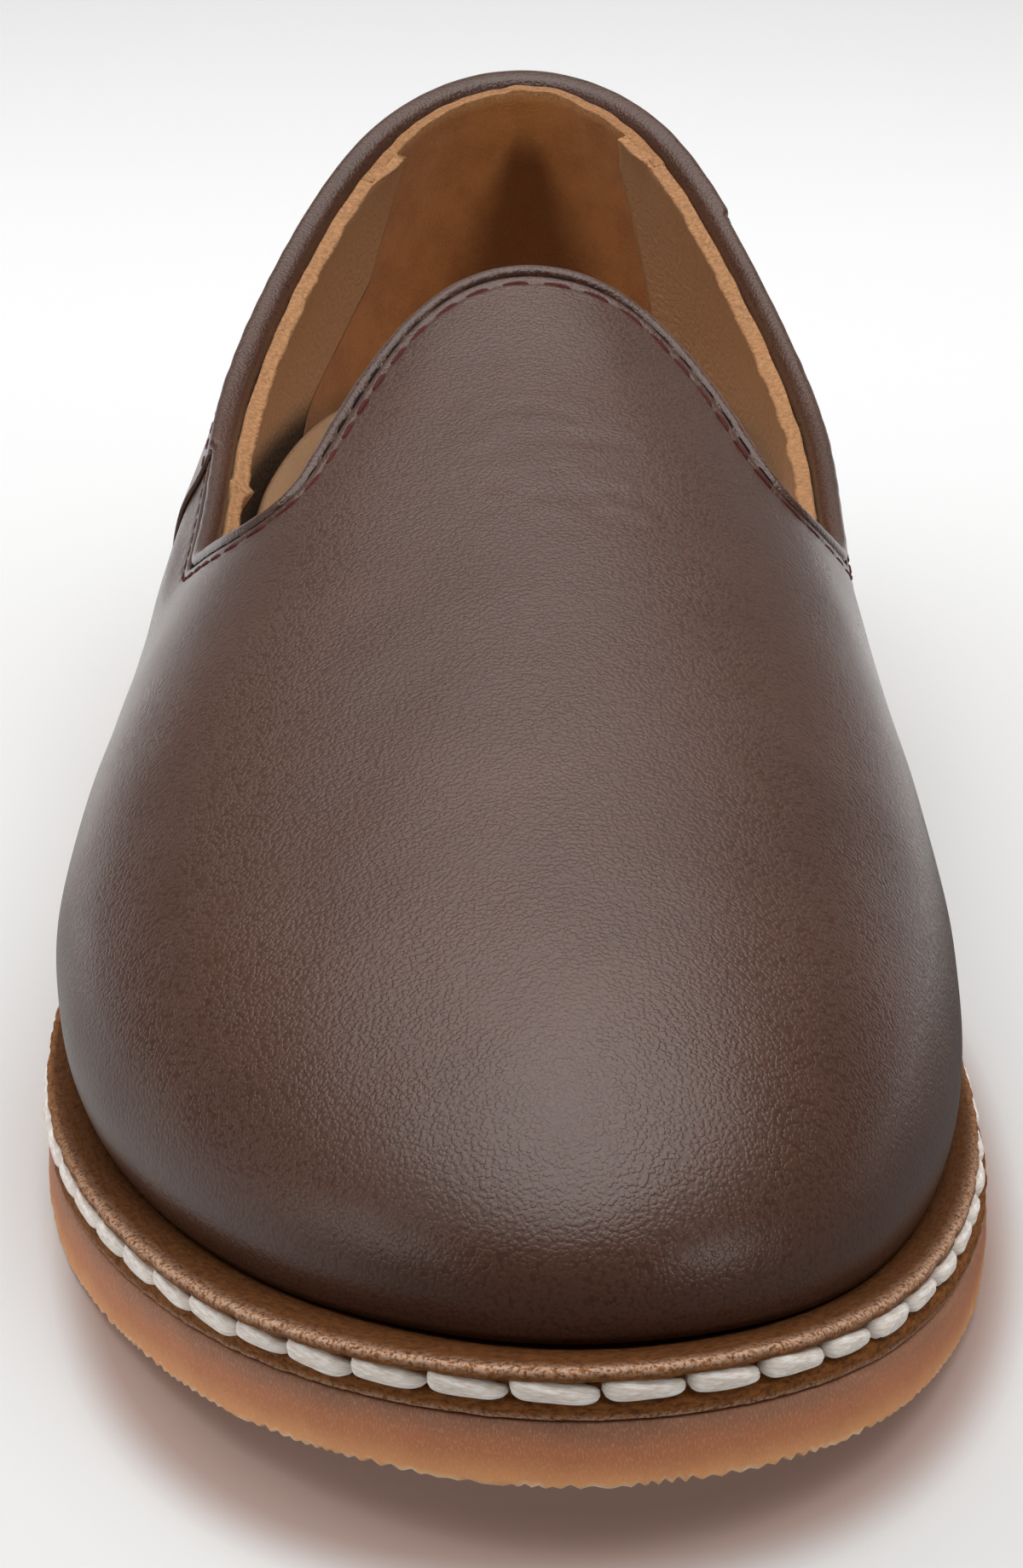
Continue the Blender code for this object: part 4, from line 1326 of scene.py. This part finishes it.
OUTSOLE_SIDE = (
    # inset, height of the forefoot ring above the sheet's underside, height of the heel ring above the floor,
    # tooth share, wear
    (1.6, 0.0, 0.0, 0.35, 0.0),
    (0.5, 0.03, 0.03, 0.90, 0.3),
    (0.1, 0.12, 0.12, 1.00, 1.0),
    (0.0, 0.35, 0.35, 0.80, 0.35),
    (0.03, 0.8, 0.9, 0.45, 0.0),
    (0.06, 1.5, 2.2, 0.12, 0.0),
    (0.0, 2.4, 4.6, 0.0, 0.0),
    (0.0, 3.4, 7.6, 0.0, 0.0),
    (0.0, 4.0, 8.3, 0.0, 0.0),
    (0.0, 5.2, 11.5, 0.0, 0.0),
    (0.06, 6.3, 14.2, 0.0, 0.0),
    (0.3, 6.8, 14.8, 0.0, 0.0),
    (0.6, 6.95, 14.95, 0.0, 0.0),
    (2.5, 7.0, 15.0, 0.0, 0.0),
)
RASPED = (0.2, 6.5)
TOOTH_PITCH = 1.7
TOOTH_DEPTH = 0.75
TREAD_ACROSS = 30
TREAD_DEPTH = 0.35
TREAD_PITCH = (4.0, 2.4)
TREAD_POWER = 0.7
# Unevenness of the sole's sides and teeth: height, length, seed
MIDSOLE_WAVES = ((0.06, 2.6, 51), (0.05, 1.1, 52))
TOOTH_WIDTHS = ((0.6, 11.0, 61),)
TOOTH_DEPTHS = ((0.45, 5.0, 62),)
TOOTH_MEAN = 0.6
OUTSOLE_WAVES = ((0.05, 1.5, 63), (0.08, 7.0, 64))
TORN_WAVES = ((1.0, 2.5, 65),)
TORN_LEAST = 0.35
TORN_SHIFT = 0.4


def stitch_path():
    """Points of the sole stitch's closed line in its channel, with their outline lengths and own lengths."""
    s = np.linspace(0.0, RING.length, PATH_STEPS + 1)
    plan = outline(s, STITCH_INSET - STITCH_LIP_SHARE * column(s, "lip"))
    line = np.concatenate([plan, (sheet_z(plan[:, 1]) + RUBBER + STITCH_HEIGHT)[:, None]], 1)
    return s, line, travelled(line)


PATH_S, PATH, PATH_LENGTH = stitch_path()
STITCH_STEP = PATH_LENGTH[-1] / STITCHES
STITCH_HOLES = STITCH_PHASE + STITCH_STEP * np.arange(STITCHES)


def hole_nearness(s):
    """1 at the stitch holes and 0 between them, along the outline."""
    travel = np.interp(np.mod(s, RING.length), PATH_S, PATH_LENGTH)
    off = np.mod(travel - STITCH_PHASE + 0.5 * STITCH_STEP, STITCH_STEP) - 0.5 * STITCH_STEP
    return bell(off)


def flat_outward(s):
    """Outline normal with a level z."""
    return np.concatenate([outward(s), np.zeros((len(s), 1))], 1)


def make_midsole(material):
    """Leather midsole: lower strip, stitch channel and worn lip, pulled in a little at each stitch hole."""
    s = plate_columns(MIDSOLE_ROWS)
    lip = column(s, "lip")
    hole = hole_nearness(s)
    front = smoothstep((WORN_FROM_Y - column(s, "edge_y")) / WORN_FADE)
    rings = []
    wear_and_painted_shade = []
    ledge = []
    for inset, share, height, worn in MIDSOLE_SIDE:
        pulled = LIP_PULL * hole * bell((height - LIP_HEIGHT) / PULL_WIDTH)
        ring = ring_points(s, inset - share * lip + pulled, RUBBER + height)
        way = flat_outward(s) if height < SIDE_TOP else np.array([0.0, 0.0, 1.0])
        ring += uneven(ring, MIDSOLE_WAVES)[:, None] * way
        ring[:, 2] = np.maximum(ring[:, 2], sheet_z(ring[:, 1]) + RUBBER + LEAST_RISE)
        rings.append(ring)
        on_lip = height > LIP_FROM
        wear_and_painted_shade.append(worn * (WORN_LEAST + (1.0 - WORN_LEAST) * front if on_lip else np.ones_like(s)))
        # Painted shade mark: the ledge's top rings, inwards of the lip
        ledge.append(np.full_like(s, float(on_lip and inset > LEDGE_FROM)))
    return add_plate("midsole_leather", s, rings, material, MIDSOLE_ACROSS, slot="edge_leather",
                     stands_for=("midsole",), marks={"wear_and_painted_shade": np.array(wear_and_painted_shade), "ledge": np.array(ledge)})


def heel_share(y):
    """0 on the sheet, 1 on the heel, across the heel's front."""
    return np.clip((y - HEEL_BREAST_Y) / BREAST_SLOPE, 0.0, 1.0)


def zigzag(phase):
    """1 at whole numbers and 0 midway between them, with straight flanks."""
    return np.abs(2.0 * (phase - np.floor(phase)) - 1.0)


def tooth(s):
    """Saw-tooth of the lower edge, 0 at a tooth's tip and 1 between teeth, with uneven widths and depths."""
    spot = np.stack([s, np.zeros_like(s), np.zeros_like(s)], -1)
    phase = s / TOOTH_PITCH + uneven(spot, TOOTH_WIDTHS)
    return np.clip(zigzag(phase) * (TOOTH_MEAN + uneven(spot, TOOTH_DEPTHS)), 0.0, 1.0)


def tread(x, y):
    """Fine lozenge tread of the underside, raised into the rubber."""
    a = x / TREAD_PITCH[0] + y / TREAD_PITCH[1]
    b = x / TREAD_PITCH[0] - y / TREAD_PITCH[1]
    return TREAD_DEPTH * (zigzag(a) * zigzag(b)) ** TREAD_POWER


def make_outsole(material):
    """Rubber sheet and heel: rasped side, uneven teeth along the lower edge, tread below."""
    s = plate_columns(OUTSOLE_ROWS)
    teeth = tooth(s)
    rings = []
    rise = []
    wear_and_painted_shade = []
    for inset, flat, heel, share, worn in OUTSOLE_SIDE:
        plan = outline(s, inset + np.zeros_like(s))
        sheet = sheet_z(plan[:, 1])
        part = heel_share(plan[:, 1])
        on_heel = heel / (RUBBER + HEEL_RISE) * (sheet + RUBBER)
        level = (1.0 - part) * (sheet + flat) + part * on_heel + TOOTH_DEPTH * share * teeth
        ring = np.concatenate([plan, level[:, None]], 1)
        if RASPED[0] < flat < RASPED[1]:
            ring += uneven(ring, OUTSOLE_WAVES)[:, None] * flat_outward(s)
        ring[:, 2] = np.maximum(ring[:, 2], 0.0)
        rings.append(ring)
        rise.append(np.full_like(s, flat / RUBBER))
        torn = np.clip(uneven(ring, TORN_WAVES) + TORN_SHIFT, 0.0, 1.0)
        wear_and_painted_shade.append(worn * (TORN_LEAST + (1.0 - TORN_LEAST) * torn))
    return add_plate("gum_outsole", s, rings, material, TREAD_ACROSS, tread, slot="gum_rubber",
                     stands_for=("outsole",), marks={"rise": np.array(rise), "wear_and_painted_shade": np.array(wear_and_painted_shade)})


INSOLE_ROWS = 170
INSOLE_ACROSS = 36
INSOLE_IN = 2.8
INSOLE_SIDE = (
    # inset, height above the seat, share of the heel cup's rise, cut
    (0.4, 0.0, 0.0, 1.0),
    (0.0, 0.3, 0.0, 1.0),
    (0.0, 1.8, 0.90, 1.0),
    (0.25, 2.25, 0.97, 0.7),
    (0.8, 2.5, 1.0, 0.2),
    (1.6, 2.5, 0.97, 0.0),
    (2.6, 2.5, 0.72, 0.0),
    (3.8, 2.5, 0.35, 0.0),
    (5.0, 2.5, 0.07, 0.0),
    (6.0, 2.5, 0.0, 0.0),
)


# Hollows of the sock: depth, centre in x and y, radius; and its unevenness
HOLLOWS = ((0.6, 1.5, 105.0, 24.0), (0.4, 0.0, -55.0, 34.0))
HOLLOW_STRETCH = 0.7
SOCK_WAVES = ((0.1, 20.0, 71),)


def sock_dish(x, y):
    """Soft long hollows under the heel and the ball."""
    dish = uneven(np.stack([x, y, np.zeros_like(x)], -1), SOCK_WAVES)
    for depth, at_x, at_y, radius in HOLLOWS:
        dish -= depth * bell(np.hypot(x - at_x, HOLLOW_STRETCH * (y - at_y)) / radius)
    return dish


def make_insole(material):
    """Leather sock: a thin plate with a rounded edge that cups the heel."""
    s = plate_columns(INSOLE_ROWS)
    cup = cup_rise(column(s, "edge_y"))
    inset = column(s, "ledge") + INSOLE_IN
    seat = RUBBER + MIDSOLE + GAP
    rings = [ring_points(s, inset + more, seat + up + share * cup) for more, up, share, _ in INSOLE_SIDE]
    cut = np.array([np.full_like(s, raw) for *_, raw in INSOLE_SIDE])
    return add_plate("insole_sock", s, rings, material, INSOLE_ACROSS, level_deck, sock_dish,
                     slot="tan_leather", stands_for=("insole",), marks={"cut": cut})


# Stitches
TANGENT_REACH = 0.3


def along_path(points, length, at):
    """Points and level tangents at lengths along a closed path whose last point is its first again."""
    def spot(where):
        return follow(length, points, np.mod(where, length[-1]))

    along = spot(at + TANGENT_REACH) - spot(at - TANGENT_REACH)
    along[..., 2] = 0.0
    return spot(at), unit(along)


def joined_tubes(name, points, material, uv, **more):
    """Many tubes as one piece: points by tube, step and turn, each closed by end caps."""
    tubes, steps, turns = points.shape[:3]
    index, i, j = grid_faces(steps, turns, False, True)
    offset = (np.arange(tubes) * steps * turns)[:, None, None]
    faces = [tuple(f) for f in (index[None] + offset).reshape(-1, 4)]
    corners = list(np.tile(uv[i, j], (tubes, 1, 1)))
    ring = np.arange(turns)
    for k in range(tubes):
        start = k * steps * turns
        faces.append(tuple(start + ring))
        faces.append(tuple(start + (steps - 1) * turns + ring[::-1]))
        corners.append(uv[0, :turns])
        corners.append(uv[-1, :turns][::-1])
    return add_piece(name, points, faces, material, uv=corners, **more)


SOLE_STITCH_STEPS = 26
SOLE_STITCH_TURNS = 20
SOLE_STITCH_HIGH = 1.08
SOLE_STITCH_DEEP = 1.0
SOLE_STITCH_SLANT = 0.1
SOLE_STITCH_GAP = 0.16
SQUARENESS = 2.3
SOLE_STITCH_SEED = 81
# Ranges and limits that each stitch is drawn from
HOLE_SHIFT = 0.3
HEAD_RANGE = (0.12, 0.22)
TAIL_RANGE = (0.25, 0.45)
TAIL_POWER = 2.2
END_SIZE = 0.3
SLIM_RANGE = (0.02, 0.22)
SLIM_FROM = 0.25
SIZE_RANGE = (0.90, 1.07)
LEAN_SHIFT = 0.03
HEIGHT_SHIFT = 0.1
# Strands of a stitch: depth, number round it, twist along it
STRANDS = ((0.05, 7.0, 2.0), (0.04, 11.0, -3.0), (0.05, 3.0, 5.0))
# The inner side's stitches slant less
LESS_SLANT = 0.7
LESS_FROM_X = -10.0
LESS_SPAN = 50.0
END_SINK = 0.55
SINK_POWER = 6


def make_sole_stitches(material):
    """Fat bundled stitches: rice-grain tubes with one blunter end, strands standing out, ends drawn in."""
    draw = np.random.default_rng(SOLE_STITCH_SEED)
    share = np.linspace(0.0, 1.0, SOLE_STITCH_STEPS)
    turn = turns(SOLE_STITCH_TURNS)
    holes = STITCH_HOLES + draw.uniform(-HOLE_SHIFT, HOLE_SHIFT, STITCHES)
    start = holes + 0.5 * SOLE_STITCH_GAP
    stop = np.roll(holes, -1) - 0.5 * SOLE_STITCH_GAP
    stop[-1] += PATH_LENGTH[-1]
    at = start[:, None] + (stop - start)[:, None] * share[None, :]
    middle, along = along_path(PATH, PATH_LENGTH, at)
    out = np.stack([along[..., 1], -along[..., 0], np.zeros(at.shape)], -1)
    head = draw.uniform(*HEAD_RANGE, STITCHES)[:, None]
    tail = draw.uniform(*TAIL_RANGE, STITCHES)[:, None]
    blunt = np.sqrt(1.0 - (1.0 - np.clip(share[None, :] / head, 0.0, 1.0)) ** 2)
    taper = np.sqrt(1.0 - np.clip((share[None, :] - 1.0 + tail) / tail, 0.0, 1.0) ** TAIL_POWER)
    slimmer = draw.uniform(*SLIM_RANGE, STITCHES)[:, None]
    slim = 1.0 - slimmer * smoothstep((share[None, :] - SLIM_FROM) / (1.0 - SLIM_FROM))
    body = (END_SIZE + (1.0 - END_SIZE) * blunt * taper) * slim
    size = draw.uniform(*SIZE_RANGE, STITCHES)
    side = draw.uniform(0.0, 2.0 * np.pi, (STITCHES, len(STRANDS), 1, 1))
    strand = sum(depth * np.cos(count * turn + twist * share[:, None] + side[:, k])
                 for k, (depth, count, twist) in enumerate(STRANDS))
    radius = (body * size[:, None])[..., None] * (1.0 + strand)
    square = superellipse(turn, SQUARENESS)
    outward_by = SOLE_STITCH_DEEP * radius * square * np.cos(turn)
    up_by = SOLE_STITCH_HIGH * radius * square * np.sin(turn)
    less = LESS_SLANT * smoothstep((middle[..., 0] - LESS_FROM_X) / LESS_SPAN)
    lean = SOLE_STITCH_SLANT * (1.0 - less) + draw.uniform(-LEAN_SHIFT, LEAN_SHIFT, STITCHES)[:, None]
    height = lean * STITCH_STEP * (0.5 - share)[None, :]
    height += draw.uniform(-HEIGHT_SHIFT, HEIGHT_SHIFT, STITCHES)[:, None]
    sink = END_SINK * (2.0 * share - 1.0) ** SINK_POWER
    points = middle[:, :, None, :] + (outward_by - sink[None, :, None])[..., None] * out[:, :, None, :]
    points[..., 2] += up_by + height[:, :, None]
    around = np.append(turn, 2.0 * np.pi) * SOLE_STITCH_HIGH
    return joined_tubes("sole_stitches", points, material, uv_grid(share * STITCH_STEP, around))


LINE_COLUMNS = 2000
LINE_WEIGHT = 3.0
DASH_STEPS = 9
DASH_TURNS = 8
DASH_SHIFT = 0.12
DASH_LENGTHS = (0.85, 1.05)
DASH_POWER = 4
DASH_LEAST = 0.02
DASH_DIP = 0.35
DIP_POWER = 6
# Twist of a dash: depth, strands round it, turn along it
DASH_TWIST = (0.10, 3.0, 9.0)
SMALL_STITCHES = {
    # distance below the top edge, pitch, filled share, half width, half height, lift, seed
    "topline_stitches": (STITCH_DISTANCE, STITCH_PITCH, 0.86, 0.37, 0.26, -0.08, 91),
    "groove_stitches": (GROOVE_DISTANCE + 0.1, STITCH_PITCH, 0.75, 0.36, 0.3, -0.3, 92),
}


def small_stitches(name, material):
    """Dashes of thread that follow the top edge, each a tube that dips into the leather at its ends."""
    distance, pitch, fill, half_wide, half_high, lift, seed = SMALL_STITCHES[name]
    draw = np.random.default_rng(seed)
    s = edge_columns(LINE_COLUMNS, LINE_WEIGHT)
    s = np.append(s, s[0] + RING.length)
    v = rim_v(s, distance)
    lift = lift + (QUARTER_LOW + QUARTER_THICK) * on_quarter(s)
    normal = skin_normal(s, v)
    line = skin(s, v) + lift[:, None] * normal
    length = travelled(line)
    total = length[-1]
    count = int(round(total / pitch))
    share = np.linspace(0.0, 1.0, DASH_STEPS)
    turn = turns(DASH_TURNS)
    start = (np.arange(count) + 0.5 * (1.0 - fill)) * total / count
    start += draw.uniform(-DASH_SHIFT, DASH_SHIFT, count)
    at = start[:, None] + fill * total / count * share[None, :] * draw.uniform(*DASH_LENGTHS, count)[:, None]
    at = np.mod(at, total)
    spot = follow(length, line, at)
    out = unit(follow(length, normal, at))
    along = unit(np.gradient(spot, axis=1))
    across = np.cross(along, out)
    body = np.sqrt(np.clip(1.0 - np.abs(2.0 * share - 1.0) ** DASH_POWER, DASH_LEAST, 1.0))
    dip = DASH_DIP * (2.0 * share - 1.0) ** DIP_POWER
    depth, strands, twisted = DASH_TWIST
    twist = 1.0 + depth * np.cos(strands * turn[None, :] + twisted * share[:, None])
    wide = half_wide * body[:, None] * np.cos(turn) * twist
    high = half_high * body[:, None] * np.sin(turn) * twist - dip[:, None]
    points = (spot[:, :, None, :] + wide[None, ..., None] * across[:, :, None, :]
              + high[None, ..., None] * out[:, :, None, :])
    around = np.append(turn, 2.0 * np.pi) * half_wide
    return joined_tubes(name, points, material, uv_grid(share * pitch, around))


# Studio
FLOOR_COLUMNS = 128
FLOOR_REACH = (0.001, 0.6, 0.7, 0.74, 0.78, 0.82, 0.86, 0.9, 0.93, 0.96, 0.99, 1.02, 1.05, 1.08, 1.3, 3.0,
               45.0)
FLOOR_POWER = 2.4
# Painted shade under the toe: centre and half sizes of its superellipse, and the colour of its painted glow
SHADE_CENTRE = (3.0, -60.0)
SHADE_HALF = (50.0, 88.0)
SHADE_LIGHT = (0.115, 0.072, 0.058)
# Where the painted shade and its dark ring fade, as a share of the reach
SHADE_FADE = (1.07, 0.12)
RING_FADE = (0.88, 0.14)
RING_SHARE = 0.8
# Parts of the floor in metres: from no share to the full share
FLOOR_FRONT = (-0.10, -0.20)
FLOOR_INNER = (-0.05, 0.06)
FLOOR_BACK = (-0.16, 0.40)
FLOOR_REAR = (0.02, 0.14)
# Grey of the surround by its direction: in front, behind, straight behind
SURROUND = ((0.03, 0.03, 0.03), (0.08, 0.08, 0.08), (0.32, 0.32, 0.32))
SURROUND_BACK = (-0.7, 0.3)
SURROUND_REAR = (0.6, 0.95)
CAMERA_PLACE = (0.0, -0.49421, 0.21100)
CAMERA_TILT = 69.0
CAMERA_LENS = 100.0
CAMERA_NEAR = 0.01
SENSOR = 36.0
LIGHTS = (
    # name, place, aim, width, depth, watts; a hair's lean fixes the turn of those that look straight down
    ("overhead_core", (0.05, -0.16, 1.0), (0.05, -0.1599, 0.0), 1.0, 1.0, 2.7),
    ("overhead_wide", (-0.02, 0.04, 1.01), (-0.02, 0.0401, 0.0), 1.8, 2.0, 12.6),
    ("overhead_broad", (-0.35, -0.42, 1.02), (-0.35, -0.4199, 0.0), 3.5, 2.0, 11.5),
    ("right_low", (0.72, -0.55, 0.18), (0.02, -0.10, 0.03), 0.36, 0.30, 0.62),
    ("left_low", (-0.81, -0.36, 0.16), (-0.02, -0.10, 0.03), 0.55, 0.34, 0.66),
)


def make_floor():
    """Wide pale floor: a polar grid of superellipses round the toe, with painted shade towards the front and
    under the toe, and a faint painted glow over that shade.

    The leather mirrors little of the floor in front and on the inner side, so other rays than the camera's
    see a darker floor there.
    """
    finish = Finish("floor_finish", Specular_IOR_Level=0.2, Emission_Strength=1.0)
    cloud = finish.noise(finish.place, 3.0, 3.0)
    split = finish.add("ShaderNodeSeparateXYZ", {0: finish.place})
    front = finish.ramp((split, 1), *FLOOR_FRONT)
    inner_side = finish.ramp((split, 0), *FLOOR_INNER)
    colour = finish.blend(cloud, (0.63, 0.625, 0.62), (0.65, 0.645, 0.64))
    # Painted shade: seen by the camera, the floor is darker in front than behind, and darker still in front
    # on the inner side
    colour = finish.blend(finish.ramp((split, 1), *FLOOR_BACK), colour, (0.885, 0.885, 0.885))
    colour = finish.blend(finish.maths("MULTIPLY", front, inner_side), colour, (0.52, 0.512, 0.508))
    # Painted shadow: a dark ring round the toe
    colour = finish.blend(finish.mark("shade_ring"), colour, (0.27, 0.21, 0.19))
    mirrored = finish.blend(inner_side, (0.42, 0.42, 0.42), (0.12, 0.12, 0.12))
    mirrored = finish.blend(finish.ramp((split, 1), *FLOOR_REAR), mirrored, (0.95, 0.95, 0.95))
    mirrored = finish.blend(front, mirrored, (0.02, 0.02, 0.02))
    bounced = finish.blend(inner_side, (0.68, 0.68, 0.68), (0.50, 0.50, 0.50))
    bounced = finish.blend(front, bounced, (0.40, 0.40, 0.40))
    path = finish.add("ShaderNodeLightPath")
    seen = (path, "Is Camera Ray")
    colour = finish.blend(seen, finish.blend((path, "Is Glossy Ray"), bounced, mirrored), colour)
    finish.set("Base Color", colour)
    # Painted glow: the floor glows faintly brown over the shade under the toe, for the camera only
    painted = finish.maths("MULTIPLY", finish.mark("shade"), seen)
    finish.set("Emission Color", finish.blend(painted, (0.0, 0.0, 0.0), SHADE_LIGHT))
    finish.set("Roughness", finish.scaled(cloud, 0.1, 0.55))
    reach = np.array(FLOOR_REACH)
    turn = turns(FLOOR_COLUMNS)
    radius = superellipse(turn, FLOOR_POWER)
    x = SHADE_CENTRE[0] + SHADE_HALF[0] * (np.cos(turn) * radius)[:, None] * reach[None, :]
    y = SHADE_CENTRE[1] + SHADE_HALF[1] * (np.sin(turn) * radius)[:, None] * reach[None, :]
    points = np.stack([x, y, np.zeros_like(x)], -1).reshape(-1, 3)
    shade = smoothstep((SHADE_FADE[0] - reach) / SHADE_FADE[1])
    ring = shade * (1.0 - RING_SHARE * smoothstep((RING_FADE[0] - reach) / RING_FADE[1]))
    faces, _, _ = grid_faces(FLOOR_COLUMNS, len(reach), True, False)
    mesh = bpy.data.meshes.new("floor")
    mesh.from_pydata((points * MM).tolist(), [], faces[:, ::-1].tolist())
    store_marks(mesh, {"shade": np.tile(shade, FLOOR_COLUMNS), "shade_ring": np.tile(ring, FLOOR_COLUMNS)})
    mesh.materials.append(finish.material)
    floor = bpy.data.objects.new("floor", mesh)
    bpy.context.scene.collection.objects.link(floor)


def make_studio():
    """Nested soft lights overhead, two weak low ones in front, a grey surround darker in front, camera."""
    scene = bpy.context.scene
    for name, place, aim, width, depth, watts in LIGHTS:
        lamp = bpy.data.lights.new(name, "AREA")
        lamp.shape = "ELLIPSE"
        lamp.size = width
        lamp.size_y = depth
        lamp.energy = watts
        holder = bpy.data.objects.new(name, lamp)
        holder.location = place
        holder.rotation_euler = (Vector(aim) - Vector(place)).to_track_quat("-Z", "Y").to_euler()
        scene.collection.objects.link(holder)
    world = bpy.data.worlds.new("studio")
    world.use_nodes = True
    scene.world = world
    graph = Graph(world.node_tree)
    way = graph.add("ShaderNodeTexCoord")
    split = graph.add("ShaderNodeSeparateXYZ", {0: (way, "Generated")})
    shade = graph.blend(graph.ramp((split, 1), *SURROUND_BACK), *SURROUND[:2])
    shade = graph.blend(graph.ramp((split, 1), *SURROUND_REAR), shade, SURROUND[2])
    graph.feed(world.node_tree.nodes["Background"], "Color", shade)
    camera = bpy.data.cameras.new("camera")
    camera.sensor_fit = "VERTICAL"
    camera.sensor_height = SENSOR
    camera.sensor_width = SENSOR
    camera.lens = CAMERA_LENS
    camera.clip_start = CAMERA_NEAR
    holder = bpy.data.objects.new("camera", camera)
    holder.location = CAMERA_PLACE
    holder.rotation_euler = (math.radians(CAMERA_TILT), 0.0, 0.0)
    scene.collection.objects.link(holder)
    scene.camera = holder
    scene.view_settings.view_transform = "Standard"


def main():
    """All pieces with their finishes, then the studio."""
    brown = brown_leather()
    make_upper(brown)
    make_quarter(brown)
    make_binding(brown)
    make_side_lining(lining_leather("side_lining_finish", (0.42, 0.24, 0.125), (0.52, 0.32, 0.18),
                                    (0.44, 0.215, 0.09)))
    make_heel_lining(suede_lining())
    make_insole(lining_leather("insole_finish", (0.38, 0.225, 0.12), (0.46, 0.29, 0.165),
                               (0.36, 0.20, 0.10)))
    make_midsole(edge_leather())
    make_outsole(gum_rubber())
    cream = thread("sole_thread", (0.74, 0.62, 0.53), (1.0, 0.93, 0.86), along=0.6, across=3.4, glow=0.6)
    make_sole_stitches(cream)
    maroon = thread("maroon_thread", (0.055, 0.013, 0.012), (0.13, 0.034, 0.030), along=1.5, across=5.0)
    small_stitches("topline_stitches", maroon)
    black = thread("groove_thread", (0.004, 0.002, 0.002), (0.012, 0.006, 0.005), along=1.5, across=5.0)
    small_stitches("groove_stitches", black)
    make_floor()
    make_studio()


main()
